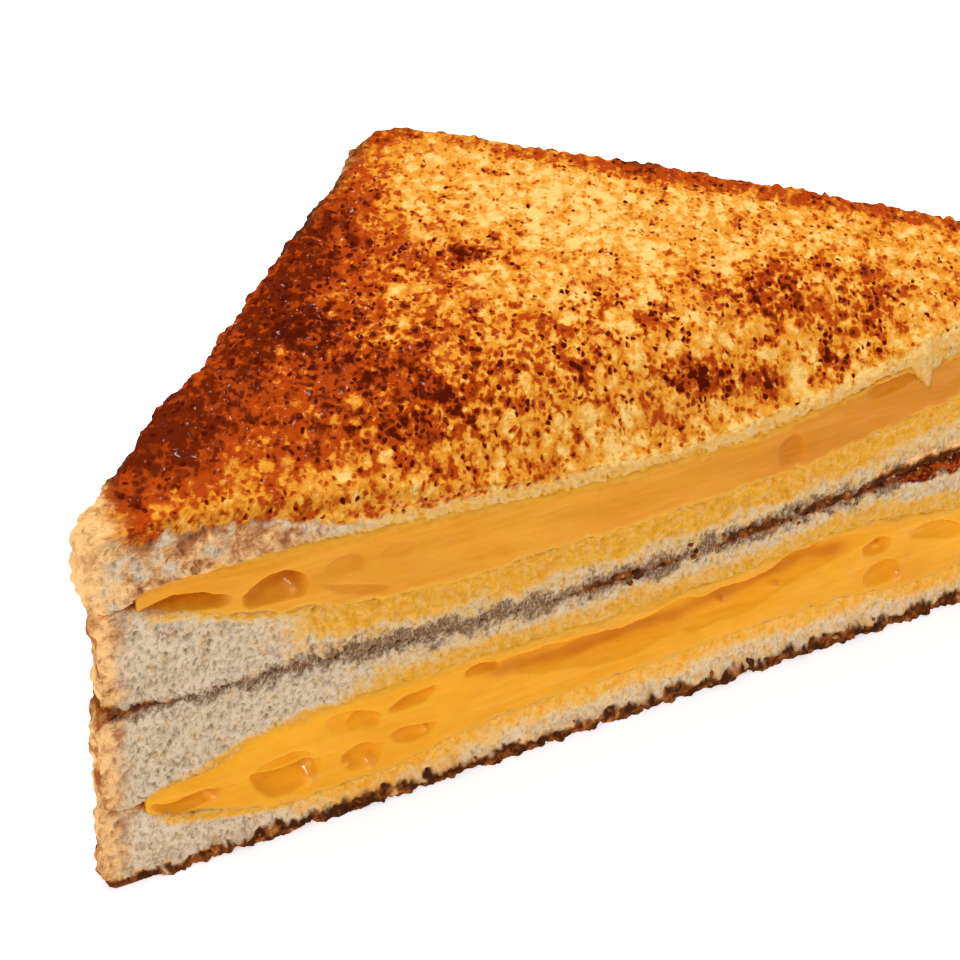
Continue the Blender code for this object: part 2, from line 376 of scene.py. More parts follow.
def outline(side, share, crust_inset, cut_inset):
    """Places of the stations on the outline, drawn in from the crust and from the cut face."""
    radius = np.maximum(CORNER_RADIUS - crust_inset, SMALLEST_RADIUS)
    pivot = HALF_DIAGONAL - (crust_inset + radius) * ROOT2
    slant = radius / ROOT2
    corners = [side == RIGHT_END, side == APEX, side == LEFT_END]
    turn = np.radians(np.select(corners, [45 * share, 45 + 90 * share, 135 + 45 * share]))
    x = np.select([side == RIGHT_END, side == LEFT_END], [pivot, -pivot], 0.0) + radius * np.cos(turn)
    y = np.where(side == APEX, pivot, 0.0) + radius * np.sin(turn)
    bow = np.select([side == RIGHT_LEG, side == LEFT_LEG], [RIGHT_LEG_BOW, LEFT_LEG_BOW], 0.0)
    push = bow * np.sin(math.pi * share) / ROOT2
    down = np.where(side == RIGHT_LEG, share, 1 - share)
    on_leg = (side == RIGHT_LEG) | (side == LEFT_LEG)
    leg_x = mix(pivot + slant, slant, down) + push
    x = np.where(on_leg, np.where(side == RIGHT_LEG, leg_x, -leg_x), x)
    y = np.where(on_leg, mix(slant, pivot + slant, down) + push, y)
    on_cut = side == CUT_SIDE
    x = np.where(on_cut, mix(-pivot - radius, pivot + radius, share), x)
    y = np.where(on_cut, 0.0, y)
    return x, y + cut_inset * np.exp(-np.maximum(y, 0.0) / CUT_SHIFT_REACH)


def rounding(distance, radius):
    """How far a rounded edge draws in at a distance from its corner."""
    left = np.maximum(radius - distance, 0.0)
    return radius - np.sqrt(np.maximum(radius**2 - left**2, 0.0))


def edge_distance(x, y, crust_inset, cut_inset):
    """Distance of a place inside the outline from its edge."""
    radius = max(CORNER_RADIUS - crust_inset, SMALLEST_RADIUS)
    pivot = HALF_DIAGONAL - (crust_inset + radius) * ROOT2
    near = np.minimum(from_crust(x, y) - crust_inset, y - cut_inset)
    at_end = np.abs(x) - pivot > np.maximum(y, 0.0)
    at_apex = y - pivot > np.abs(x)
    near = np.where(at_end, np.minimum(near, radius - np.hypot(np.abs(x) - pivot, y)), near)
    return np.where(at_apex, np.minimum(near, radius - np.hypot(x, y - pivot)), near)


def face_fill(ring_x, ring_y, step, crust_inset, cut_inset, seed):
    """Triangles inside a ring. Returns the new places, and triangles that count the ring's points first."""
    rows = np.arange(CUT_EDGE + step * 0.7, CUT_REACH + RIGHT_LEG_BOW, step * 0.866)
    columns = np.arange(-CUT_REACH, CUT_REACH, step)
    x, y = np.meshgrid(columns, rows)
    x = x + (np.arange(len(rows)) % 2)[:, None] * step / 2
    x, y = x.ravel(), y.ravel()
    flat = np.stack([x, y, np.full_like(x, seed)], axis=1)
    cell = np.round(flat / step * 4).astype(np.int64)
    jitter = (shares_of(scramble(cell, seed)) - 0.5) * step * 0.35
    x, y = x + jitter[:, 0], y + jitter[:, 1]
    keep = edge_distance(x, y, crust_inset, cut_inset(x)) > step * 0.55
    x, y = x[keep], y[keep]
    spots = [Vector(spot) for spot in zip(ring_x, ring_y)] + [Vector(spot) for spot in zip(x, y)]
    around = [list(range(len(ring_x)))]
    made, _, faces, sources, _, _ = delaunay_2d_cdt(spots, [], around, 1, 1e-7)
    index = np.array([source[0] for source in sources])
    if len(made) != len(spots):
        raise RuntimeError("the face of a shell lost or gained points")
    return x, y, index[np.array(faces)]


def vertex_normals(points, triangles):
    """The direction that the surface faces at each vertex."""
    a, b, c = (points[triangles[:, k]] for k in range(3))
    across = np.cross(b - a, c - a)
    total = np.zeros_like(points)
    for axis in range(3):
        for corner in triangles.T:
            total[:, axis] += np.bincount(corner, across[:, axis], minlength=len(points))
    return total / np.maximum(np.linalg.norm(total, axis=1, keepdims=True), 1e-12)


def closed_shell(floor, roof, insets, rows, steps, face_insets, seed):
    """A closed mesh between two surfaces.

    insets takes the distances from the lower and the upper edge and gives the draw from the crust and from
    the cut. face_insets are those draws for the faces, the second one along the cut. steps are the mesh
    steps along the cut and the crust, and on the lower and the upper face.
    """
    cut_step, crust_step, floor_step, roof_step = steps
    side, share = stations(cut_step, crust_step)
    count = len(side)
    no_inset = np.zeros(count)
    nominal_x, nominal_y = outline(side, share, no_inset, no_inset)
    far = np.full(count, FAR)
    low_x, low_y = outline(side, share, *insets(nominal_x, nominal_y, no_inset, far))
    high_x, high_y = outline(side, share, *insets(nominal_x, nominal_y, far, no_inset))
    low_z, high_z = floor(low_x, low_y), roof(high_x, high_y)
    tall = high_z - low_z
    rings, shares_up = [], []
    for row in range(rows + 1):
        up = row / rows
        x, y = outline(side, share, *insets(nominal_x, nominal_y, tall * up, tall * (1 - up)))
        rings.append(np.stack([x, y, low_z + tall * up], axis=1))
        shares_up.append(np.full(count, up))
    wall = np.concatenate(rings)
    i, j = np.meshgrid(np.arange(rows), np.arange(count), indexing="ij")
    after = (j + 1) % count
    a, b = i * count + j, i * count + after
    c, d = a + count, b + count
    halves = [np.stack(half, -1).reshape(-1, 3) for half in ((a, b, d), (a, d, c))]
    points, triangles = [wall], halves
    shares_up = [np.concatenate(shares_up)]
    heights = [np.tile(tall, rows + 1)]
    offset = len(wall)
    under, over = (rings[0], floor, floor_step, 0), (rings[-1], roof, roof_step, rows * count)
    for ring, surface, step, first in (under, over):
        x, y, faces = face_fill(ring[:, 0], ring[:, 1], step, *face_insets, seed)
        index = np.concatenate([np.arange(count) + first, np.arange(len(x)) + offset])
        faces = index[faces]
        triangles.append(faces[:, ::-1] if first == 0 else faces)
        points.append(np.stack([x, y, surface(x, y)], axis=1))
        shares_up.append(np.full(len(x), 0.0 if first == 0 else 1.0))
        heights.append(roof(x, y) - floor(x, y))
        offset += len(x)
    points, triangles = np.concatenate(points), np.concatenate(triangles)
    up, tall = np.concatenate(shares_up), np.concatenate(heights)
    chart = chart_of(triangles, side, count, rows, len(wall), up)
    return SimpleNamespace(
        points=points,
        triangles=triangles,
        normals=vertex_normals(points, triangles),
        above_floor=up * tall,
        below_roof=(1 - up) * tall,
        up=up,
        chart=chart,
        count=count,
    )


def chart_of(triangles, side, count, rows, wall, up):
    """The part of the unwrapped map of each triangle: 0 the cut, 1 and 2 the legs, 3 under, 4 over."""
    corners = triangles % count
    on_wall = (triangles < wall).all(1)
    wall_faces = 2 * rows * count
    is_wall = np.zeros(len(triangles), bool)
    is_wall[:wall_faces] = True
    middle = np.median(corners, axis=1).astype(int)
    low_side = side[np.minimum.reduce(corners, axis=1)]
    crossing = corners.max(1) - corners.min(1) > count // 2
    wall_side = np.where(crossing, LEFT_END, low_side)
    half = middle > np.searchsorted(side, APEX) + np.count_nonzero(side == APEX) // 2
    chart = np.where(wall_side == CUT_SIDE, 0, np.where(half | crossing, 2, 1))
    over = up[triangles].mean(1) > 0.5
    return np.where(is_wall & on_wall, chart, np.where(over, 4, 3))


# Where each part lies on the unwrapped map: left, bottom, right, top.
CHART_PLACES = {
    "toast": (
        (0.01, 0.16, 0.99, 0.26),
        (0.01, 0.085, 0.99, 0.15),
        (0.01, 0.01, 0.99, 0.075),
        (0.01, 0.27, 0.99, 0.49),
        (0.01, 0.5, 0.99, 0.99),
    ),
    "cut": (
        (0.01, 0.5, 0.99, 0.99),
        (0.01, 0.30, 0.99, 0.48),
        (0.01, 0.10, 0.99, 0.28),
        (0.01, 0.01, 0.49, 0.09),
        (0.51, 0.01, 0.99, 0.09),
    ),
}


def unwrapped(made, layout):
    """Map places for every corner of every triangle."""
    triangles, chart, count = made.triangles, made.chart, made.count
    corners = made.points[triangles]
    station = (triangles % count).astype(float)
    wrapped = (station.max(1) - station.min(1) > count / 2)[:, None] & (station < count / 2)
    station = station + wrapped * count
    up = made.up[triangles]
    places = np.zeros(corners.shape[:2] + (2,))
    for k, (left, bottom, right, upper) in enumerate(CHART_PLACES[layout]):
        chosen = chart == k
        if k < 3:
            across, rise = station[chosen], up[chosen]
        else:
            across, rise = corners[chosen][..., 0], corners[chosen][..., 1]
        across = (across - across.min()) / max(np.ptp(across), 1e-9)
        rise = (rise - rise.min()) / max(np.ptp(rise), 1e-9)
        places[chosen] = np.stack([mix(left, right, across), mix(bottom, upper, rise)], axis=-1)
    return places.reshape(-1, 2)


def mesh_piece(name, points, triangles, marks, material, map_places=None):
    """A mesh object from millimetre points, with named numbers on its vertices."""
    mesh = bpy.data.meshes.new(name)
    placed = (points + np.array([0.0, CUT_Y, 0.0])) * MM
    mesh.vertices.add(len(placed))
    mesh.vertices.foreach_set("co", placed.astype(np.float32).ravel())
    mesh.loops.add(triangles.size)
    mesh.loops.foreach_set("vertex_index", triangles.astype(np.int32).ravel())
    mesh.polygons.add(len(triangles))
    mesh.polygons.foreach_set("loop_start", np.arange(0, triangles.size, 3, dtype=np.int32))
    mesh.update(calc_edges=True)
    if mesh.validate():
        raise RuntimeError(f"{name} came out with faulty faces")
    for mark, values in marks.items():
        mesh.attributes.new(mark, "FLOAT", "POINT").data.foreach_set("value", values.astype(np.float32))
    if map_places is not None:
        mesh.uv_layers.new(name="OFBake").uv.foreach_set("vector", map_places.astype(np.float32).ravel())
    mesh.shade_smooth()
    mesh.materials.append(material)
    piece = bpy.data.objects.new(name, mesh)
    bpy.context.scene.collection.objects.link(piece)
    return piece


# ---------------------------------------------------------------------------------------------------------
# Relief of the bread
# ---------------------------------------------------------------------------------------------------------


def crumb_relief(p, depth, seed):
    """Cut crumb: rough, with slanted pores of two sizes. Returns its relief and how deep in a pore it is."""
    slanted = np.stack([(p[:, 0] + p[:, 2] * 0.35) / 0.75, p[:, 1], p[:, 2] / 1.35], axis=1)
    near, own = cells(slanted, 0.85, seed)
    large = smooth((0.02 + 0.5 * own - near) / 0.3)
    near, own = cells(slanted, 0.48, seed + 1)
    small = smooth((0.2 + 0.4 * own - near) / 0.4)
    rough = 0.14 * noise(p, 2.8, seed + 2) + 0.16 * noise(p, 1.2, seed + 3)
    rough += 0.16 * noise(slanted, 0.6, seed + 4)
    pit = np.clip(0.8 * large + 0.6 * small, 0, 1)
    return rough - depth * pit, pit


def crust_relief(p, height, seed):
    """Crust: rounded lumps with a fine grain."""
    near, own = cells(p, 2.3, seed)
    lumps = (0.6 + 0.6 * own) * np.maximum(1 - near * 1.25, 0) ** 0.8
    near, own = cells(p, 1.0, seed + 1)
    grains = np.maximum(1 - near * 1.3, 0) * own
    waves = 0.5 * noise(p, 5.0, seed + 2)
    fine = 0.25 * noise(p, 0.7, seed + 3)
    return height * (lumps + 0.45 * grains + waves + fine - 0.35)


def toast_relief(p, height, seed):
    """Toasted face: gentle waves, grains and shallow pits. Returns its relief and its grain from -1 to 1."""
    near, own = cells(p, 1.7, seed)
    pits = smooth((0.15 + 0.3 * own - near) / 0.2)
    fine = 0.6 * noise(p, 1.15, seed + 1) + 0.4 * noise(p, 0.6, seed + 2)
    grain = np.clip(fine + 0.35 * noise(p, 2.4, seed + 3) - 0.9 * pits, -1, 1)
    return height * (grain * 0.75 + 0.9 * noise(p, 9.0, seed + 4)), grain


# Patches of browning on the toasted top: place, reach along and across, turn in degrees, browning, specks.
TOP_PATCHES = (
    (-43, 30, 28, 6.5, 45, 1.05, 0.20),
    (-45, 14, 22, 12, 15, 0.68, 0.12),
    (-60, 12, 9, 6, 45, 0.70, 0.15),
    (-26, 45, 14, 7, 45, 0.72, 0.20),
    (-14, 58, 16, 5, 45, 0.55, 0.14),
    (0, 71, 8, 5, 0, 0.58, 0.12),
    (10, 45, 12, 9, -30, -0.26, -0.12),
    (3, 62, 8, 7, 0, 0.00, -0.22),
    (-18, 35, 12, 9, 45, 0.14, 0.10),
    (14, 59, 9, 2.6, -45, 0.50, 0.15),
    (26, 48, 9, 3.0, -45, 0.90, 0.15),
    (44, 30, 24, 2.6, -45, 0.75, 0.12),
    (-30, 18, 13, 16, 0, 0.16, 0.38),
    (-28, 9, 10, 4, 5, -0.05, 0.24),
    (-33, 30, 7, 6, 0, 0.26, 0.40),
    (-7.5, 37.5, 4.0, 2.8, 10, 0.35, 0.68),
    (-2.2, 39.8, 1.1, 1.6, 0, 0.50, 0.60),
    (-14, 42, 10, 8, 0, 0.16, 0.20),
    (-10, 14, 14, 11, 0, 0.04, 0.31),
    (-7.5, 11, 1.6, 2.0, 0, 0.20, 0.50),
    (8.5, 6.2, 6, 2.6, -12, 0.20, 0.85),
    (15.5, 3.8, 1.6, 1.4, 0, 0.40, 0.70),
    (12, 17, 12, 5, 0, 0.14, 0.32),
    (25, 14.5, 7, 5, 35, 0.40, 0.60),
    (32, 7, 7, 4, 10, 0.14, 0.46),
    (24, 2.8, 4, 2.6, 0, 0.00, 0.42),
    (36, 12, 4, 4, 0, 0.15, 0.35),
    (6.2, 56, 0.9, 1.5, 20, 0.40, 0.60),
)
TOP_BROWNING = 0.22
TOP_SPECKS = 0.14


def patched(x, y, patches, browning, specks):
    """The browning and the specks of a toasted face: even amounts with patches on them."""
    browning = np.full_like(x, browning)
    specks = np.full_like(x, specks)
    for place_x, place_y, along, across, turn, more_browning, more_specks in patches:
        c, s = math.cos(math.radians(turn)), math.sin(math.radians(turn))
        u = ((x - place_x) * c + (y - place_y) * s) / along
        v = ((y - place_y) * c - (x - place_x) * s) / across
        weight = np.exp(-((u * u + v * v) ** 1.2))
        browning += more_browning * weight
        specks += more_specks * weight
    return browning, specks


# How each slice is made: its two faces, its seed, the rows of its wall, the rounding of its crust, the
# thickness of its toasted skins, how far cheese has soaked in from a face, and how brown its toast is.
SLICES = {
    "lower_bottom_slice": dict(
        floor=ground, roof=lower_floor, seed=11, rows=38, low_radius=2.4, high_radius=2.2,
        low_skin=1.7, high_skin=0.0, soak_low=0.0, soak_high=3.1, browning=1.0,
    ),
    "lower_top_slice": dict(
        floor=lower_roof, roof=seam, seed=23, rows=38, low_radius=2.2, high_radius=2.6,
        low_skin=0.0, high_skin=0.6, soak_low=3.0, soak_high=0.0, browning=1.25,
    ),
    "upper_bottom_slice": dict(
        floor=seam, roof=upper_floor, seed=37, rows=40, low_radius=2.6, high_radius=2.2,
        low_skin=1.5, high_skin=0.0, soak_low=0.0, soak_high=4.6, browning=1.9,
    ),
    "upper_top_slice": dict(
        floor=upper_roof, roof=top, seed=53, rows=28, low_radius=2.2, high_radius=3.0,
        low_skin=0.0, high_skin=0.7, soak_low=4.2, soak_high=0.0, browning=TOP_BROWNING,
    ),
}
# A flap of crumb from the top slice hangs over the cheese: where, half its width, how far down, how far out.
FLAP_PLACE = 37.0
FLAP_HALF = 1.7
FLAP_HANG = 2.4
FLAP_OUT = 0.75
# How rounded the fold is where the knife pressed the toasted top down.
FOLD_ROUND = 1.7
# Where the toasted skin of the top ends at the cut: place, height.
TOAST_LINE = (
    (-72, 47.4), (-66, 47.6), (-58, 47.0), (-50, 45.2), (-44, 42.9), (-36, 41.8), (-25, 41.2), (-10, 40.2),
    (0, 39.6), (10, 40.2), (20, 41.3), (30, 43.2), (40, 46.0), (52, 47.8), (72, 48.0),
)
# Toasted patches at the seam: place, half width, how strong. Then how much toast shows between them.
SEAM_PATCHES = (
    (-70, 5.5, 0.7), (-7, 4.5, 0.8), (1, 1.6, 0.5), (14.5, 5, 0.9), (24.5, 3.2, 0.8), (40, 9.5, 1.7),
    (58, 12, 1.0),
)
SEAM_TOAST_LEAST = 0.1
# Places along the cut: the side of the top slice is torn up to the first, the dark rim of the bottom slice
# starts at the second, and the seam gapes from the third on.
TORN_UP_TO = -42.0
RIM_FROM = -59.0
SEAM_GAPES_FROM = 34.0
# How far the crust reaches in on the cut face and on the outer faces.
CRUST_ON_CUT = 4.0
CRUST_ON_FACE = 0.9
# How softly soaked crumb ends, how dark pressed crumb gets, and how far in from the cut the fibres at the
# seam fade.
SOAK_FADE = 4.0
PRESS_MOST = 1.3
FIBRE_REACH = 1.2
# The lowest that any vertex lies over the floor, and a toasted skin that isn't there.
LEAST_HEIGHT = 0.02
NO_SKIN = -9.0
# The numbers on the vertices that the bread material reads.
BREAD_MARKS = (
    "toast", "crust", "soak", "press", "pit", "grain", "brightness", "browning", "specks", "crust_brown",
)


def flat_noise(x, size, seed):
    """Noise along the cut alone."""
    nowhere = np.zeros_like(x)
    return noise(np.stack([x, nowhere, nowhere], axis=1), size, seed)


def seam_toast(x):
    """How much of the toasted skin shows at the seam. Between its patches the knife has smeared crumb."""
    shown = np.full_like(x, SEAM_TOAST_LEAST)
    for middle, half, strength in SEAM_PATCHES:
        shown += strength * np.exp(-(np.abs((x - middle) / half) ** 3))
    return shown


def seam_groove(x):
    """How far the two toasted faces of the seam draw apart at the cut."""
    return CUT_EDGE + 0.6 * smooth(seam_toast(x) - 0.3) + 0.9 * smooth((x - (SEAM_GAPES_FROM - 3)) / 5)


def ragged_edge(surface, side, seed):
    """A surface whose edge at the cut hangs ragged fibres over its neighbour."""

    def height(x, y):
        p = np.stack([x, y, np.full_like(x, 5.0)], axis=1)
        fibres = 0.3 + 0.45 * noise(p, 1.5, seed) + 0.35 * noise(p, 0.7, seed + 1)
        return surface(x, y) + side * fibres * np.exp(-np.maximum(y, 0) / FIBRE_REACH)

    return height


def shell_of_slice(kind, sizes):
    """The closed mesh of a slice, before its relief."""

    def fold(x):
        rolled = FOLD_ROUND * smooth((-24 - x) / 12) * smooth((x + 67) / 5) if kind.is_top else 0.0
        return CUT_EDGE + rolled

    def insets(x, y, from_low, from_high):
        edge = np.full_like(x, CUT_EDGE)
        low_cut = seam_groove(x) if kind.over_seam else edge
        high_cut = seam_groove(x) if kind.under_seam else edge + fold(x) - CUT_EDGE
        crust = rounding(from_low, kind.low_radius) + rounding(from_high, kind.high_radius) - kind.overhang
        return crust, rounding(from_low, low_cut) + rounding(from_high, high_cut)

    roof_step = sizes.toast_step if kind.is_top else sizes.hidden_step
    steps = [step / MM for step in (sizes.cut_step, sizes.crust_step, sizes.hidden_step, roof_step)]
    face_insets = (kind.high_radius - kind.overhang, fold)
    floor = ragged_edge(kind.floor, -1, kind.seed + 90) if kind.over_seam else kind.floor
    roof = ragged_edge(kind.roof, 1, kind.seed + 92) if kind.under_seam else kind.roof
    return closed_shell(floor, roof, insets, kind.rows, steps, face_insets, kind.seed)


def places_on_slice(kind, made):
    """Where each vertex is, what it is part of, and the noise that makes every edge on it ragged."""
    p, normal = made.points, made.normals
    x, y, z = p.T
    broad = noise(p, 3.5, kind.seed + 7)
    left_end = smooth((-66.7 - x + 0.3 * y + 1.2 * broad) / 3.5) if kind.is_top else np.zeros_like(x)
    return SimpleNamespace(
        p=p,
        x=x,
        y=y,
        z=z,
        above_floor=made.above_floor,
        below_roof=made.below_roof,
        ragged=noise(p, 1.6, kind.seed + 5) + 0.6 * noise(p, 0.7, kind.seed + 6),
        broad=broad,
        wander=layered(p, 14.0, kind.seed + 70),
        cut=smooth((-normal[:, 1] - 0.15) / 0.45),
        face=smooth((np.abs(normal[:, 2]) - 0.45) / 0.4),
        depth=crust_distance(x, y) + kind.overhang,
        left_end=left_end,
    )


def toasted(kind, at):
    """The toasted share of each vertex, from its distance to a toasted face."""
    near_cut = smooth((9 - at.y) / 6)
    at_seam = mix(0.35, seam_toast(at.x), near_cut)
    rough = 1 + 0.7 * at.ragged + 0.7 * at.broad
    low_skin, high_skin = NO_SKIN, NO_SKIN
    if kind.low_skin:
        low_skin = kind.low_skin * (at_seam if kind.over_seam else 1) * rough
    if kind.under_seam:
        gape = 0.6 * smooth((at.x - (SEAM_GAPES_FROM + 1)) / 5) * near_cut
        high_skin = (kind.high_skin * at_seam + gape) * rough
    if kind.is_top:
        below_line = through(TOP, at.x) - through(TOAST_LINE, at.x)
        high_skin = np.maximum(below_line + 0.6 * at.ragged + 0.5 * at.broad, 0.35)
    nearest = np.maximum(low_skin - at.above_floor, high_skin - at.below_roof)
    return smooth(nearest / 0.5 + 0.5) * (1 - at.left_end)


def soaked(kind, at):
    """How much each vertex of the cut face is soaked with cheese."""
    edge = noise(at.p, np.array([7.0, 4.0, 4.0]), kind.seed + 60) + 0.35 * noise(at.p, 1.6, kind.seed + 61)
    soak = np.full_like(at.x, 0.38 if kind.over_seam else 0.3)
    from_cheese = np.full_like(at.x, FAR)
    for reach, distance in ((kind.soak_high, at.below_roof), (kind.soak_low, at.above_floor)):
        if reach:
            soak = np.maximum(soak, smooth((reach * (1 + 0.35 * edge) - distance) / SOAK_FADE + 0.5))
            from_cheese = np.minimum(from_cheese, distance)
    middle = smooth((at.x + (48 if kind.under_seam else 56)) / 14) * smooth((64 - at.x) / 10)
    if kind.is_top:
        middle = 0.62 * middle * smooth((at.x + 48) / 12)
    elif not kind.over_seam:
        middle = 0.85 * middle
    smear = smooth((1.3 + 0.7 * edge - from_cheese) / 1.3)
    return np.maximum(soak * middle, smear * smooth((67 - np.abs(at.x)) / 3))


def pressed(kind, at):
    """How much each vertex of the cut face is pressed dark by the seam."""
    edge = noise(at.p, 2.8, kind.seed + 62) + 0.5 * noise(at.p, 1.1, kind.seed + 63)
    if kind.over_seam:
        wide = smooth((at.x + 66) / 30) + 0.35 * smooth((at.x - 28) / 8)
        return PRESS_MOST * smooth((1.7 + 1.7 * wide + 1.3 * edge - at.above_floor) / 2.4)
    if kind.under_seam:
        return PRESS_MOST * smooth((2.6 + 1.3 * edge - at.below_roof) / 2.2)
    return np.zeros_like(at.x)


def coat_slice(kind, at):
    """What each vertex is covered with: crust, toast, soaked crumb or pressed crumb."""
    crust_on_cut = smooth((CRUST_ON_CUT + 0.9 * at.ragged + 0.9 * at.broad - at.depth) / 3.0)
    if kind.is_top:
        torn = smooth(0.85 + 1.4 * at.broad + 0.9 * at.ragged) * smooth((TORN_UP_TO - at.x) / 8)
        crust_on_cut = np.maximum(crust_on_cut, 0.9 * torn)
    return SimpleNamespace(
        crust=mix(1.0, crust_on_cut, at.cut),
        toast=toasted(kind, at),
        soak=soaked(kind, at) * at.cut * (1 - crust_on_cut),
        press=pressed(kind, at) * at.cut,
        # A lift of painted light on the crumb: none here, the bottom slice adds some.
        brightness=np.ones_like(at.x),
    )


def roughen(kind, at, coat, sizes):
    """Relief of crumb, crust and toast, each where it belongs. Also marks the pores and the grain."""
    crumb_height, pit = crumb_relief(at.p, sizes.pore_depth / MM, kind.seed)
    crust_height = crust_relief(at.p, sizes.crust_bumps / MM, kind.seed + 20)
    toast_height, coat.grain = toast_relief(at.p, sizes.toast_bumps / MM, kind.seed + 40)
    crust_on_face = smooth((CRUST_ON_FACE + 0.5 * at.ragged - at.depth) / 1.2)
    side = mix(crust_height, toast_height, at.face * (1 - 0.7 * crust_on_face))
    relief = mix(side, crumb_height, at.cut)
    wet = 0.22 * noise(at.p, 2.2, kind.seed + 80) + 0.2 * noise(at.p, 0.8, kind.seed + 81)
    coat.pit = pit * at.cut
    coat.relief = relief * (1 - 0.6 * coat.soak) + coat.soak * wet


def brown_faces(kind, at, coat):
    """Browning and specks of the toasted faces. A hidden one that is broken at the cut looks like crust."""
    if kind.is_top:
        browning, specks = patched(at.x, at.y, TOP_PATCHES, TOP_BROWNING, TOP_SPECKS)
        pale_edge = smooth((1.4 + 1.2 * at.ragged + 0.8 * at.broad - at.y) / 2.2) * smooth((at.x + 16) / 8)
        from_tear = at.x + 65.8 - 0.2 * at.y - 0.6 * at.ragged
        torn_line = bell(from_tear / 1.2) * smooth((9 - at.y) / 4)
        coat.browning = browning - 0.5 * pale_edge + 0.7 * torn_line
        coat.specks = specks - 0.35 * pale_edge - 0.6 * at.left_end
        return
    coat.browning = kind.browning + 0.25 * at.wander + 0.25 * at.broad
    coat.specks = 0.35 + 0.25 * at.wander
    broken = at.cut if kind.over_seam else at.cut * (1 - smooth((at.x - SEAM_GAPES_FROM) / 4))
    coat.crust = np.maximum(coat.crust, coat.toast * broken)
    coat.toast = coat.toast * (1 - broken)


def brown_crust(kind, at, coat):
    """Browning of the crust: darker towards a toasted face, and paler where it shows on the cut."""
    crust_brown = 0.32 + 0.3 * at.wander + 0.25 * at.broad
    if kind.high_skin:
        crust_brown += 0.55 * smooth((2.8 - at.below_roof) / 2.6)
    if kind.low_skin:
        crust_brown += 0.45 * smooth((2.4 - at.above_floor) / 2.2)
    brown_line = bell((at.depth - 2.6 - 0.4 * at.ragged) / 0.8)
    on_cut = (0.38 if kind.is_top else 0.14) + 0.25 * at.broad + (0.7 if kind.is_top else 0.3) * brown_line
    if kind.under_seam:
        on_cut += 0.95 * smooth((1.5 - at.below_roof) / 1.2)
    if kind.over_seam:
        on_cut += (0.95 + 0.2 * smooth((at.x - SEAM_GAPES_FROM) / 4)) * smooth((2.4 - at.above_floor) / 1.2)
    if kind.is_top:
        crust_brown += 0.8 * (coat.browning - TOP_BROWNING) * smooth((6.0 - at.below_roof) / 4.0)
        on_cut += 0.45 * smooth((3.5 + 3.0 * at.broad - at.below_roof) / 3.0) * smooth((at.x + 69) / 3)
        near, own = cells(at.p, 2.4, 61)
        flecks = smooth((0.18 + 0.3 * own + 0.2 * at.ragged - near) / 0.15) * smooth((TORN_UP_TO - at.x) / 6)
        coat.crust = np.maximum(coat.crust, 0.9 * flecks * at.cut)
        on_cut = np.maximum(on_cut, 0.6 * flecks)
    crust_brown = mix(crust_brown, on_cut, at.cut)
    coat.crust_brown = mix(crust_brown, 0.1 * smooth((at.z - 43) / 4), at.left_end)


def rim_of_bottom(at, coat):
    """The bottom slice has a dark crumbly rim under its cut face, which starts right of its left end, and
    painted light on its crumb.
    """
    started = smooth((at.x - RIM_FROM) / 5)
    patchy = flat_noise(at.x, 7.0, 90) + 0.6 * flat_noise(at.x, 3.0, 89)
    rim_height = mix(0.6, 2.4, started) + 1.2 * patchy * started
    rim = smooth((rim_height + 0.8 - at.z) / 1.6) * at.cut
    near, own = cells(at.p, 1.2, 91)
    lumps = 0.9 * np.maximum(1 - near * 1.2, 0) * own + 0.5 * noise(at.p, 3.0, 92)
    lumps += 0.2 * noise(at.p, 0.6, 95)
    coat.relief += rim * (0.5 + lumps) * smooth((68 - np.abs(at.x)) / 4)
    ragged_rim = smooth((rim_height + 0.5 * at.ragged + 0.9 * at.broad - at.z) / 0.8)
    lowest = smooth((1.7 + 0.5 * at.ragged - at.z) / 0.6) * started
    coat.crust = np.maximum(coat.crust, np.maximum(ragged_rim, lowest) * at.cut)
    in_rim = smooth((rim_height + 1.2 - at.z) / 0.8) * at.cut
    coat.crust_brown = mix(coat.crust_brown, 1.05 + 0.6 * at.ragged, in_rim)
    coat.toast = coat.toast * (1 - at.cut)
    # Painted light: the crumb of the bottom slice is made lighter, a little more so right of its left end, as
    # less light reaches it than the slices above.
    coat.brightness += 0.1 + 0.12 * smooth((at.x + 60) / 14)


def rim_of_top(at, coat):
    """The top slice's upper rim is rounded at the left and sharp and brown at the right."""
    at_rim = smooth((2.8 - at.depth) / 1.8) * smooth((at.z - 38) / 6) * (1 - at.cut)
    near, own = cells(at.p, 1.4, 96)
    sharp = 0.3 + 0.95 * np.maximum(1 - near * 1.15, 0) * own + 0.2 * noise(at.p, 0.7, 97)
    blunt = 0.35 + 0.55 * noise(at.p, 3.0, 98) + 0.25 * noise(at.p, 1.1, 99)
    coat.relief += at_rim * mix(blunt, sharp, smooth((at.x + 6) / 8))
    browned = (0.75 + 0.4 * at.broad) * at_rim * (1 - at.left_end)
    coat.crust_brown = np.maximum(coat.crust_brown, browned)


def hang_flap(at, moved):
    """Lets the flap of crumb hang down over the cheese."""
    hang = 1 + 0.5 * noise(at.p, 0.9, 62)
    along = bell((at.x - FLAP_PLACE) / FLAP_HALF)
    flap = hang * along * smooth((3.0 - at.above_floor) / 3.0) * at.cut
    moved[:, 2] -= FLAP_HANG * flap
    moved[:, 1] -= FLAP_OUT * flap


def lift_edge(at, moved):
    """Keeps the bottom slice on the floor and lifts its edge off it here and there."""
    on_floor = np.stack([at.x, at.y, np.zeros_like(at.x)], axis=1)
    lift = np.maximum(noise(on_floor, 4.5, 93) + 0.5 * noise(on_floor, 1.5, 94), 0)
    lift = lift + 0.3 * bell((at.x + 57) / 5)
    raised = 0.9 * lift * smooth((2.5 - at.y) / 2.0) * smooth((1.8 - at.z) / 1.8)
    moved[:, 2] = np.maximum(moved[:, 2], LEAST_HEIGHT) + raised


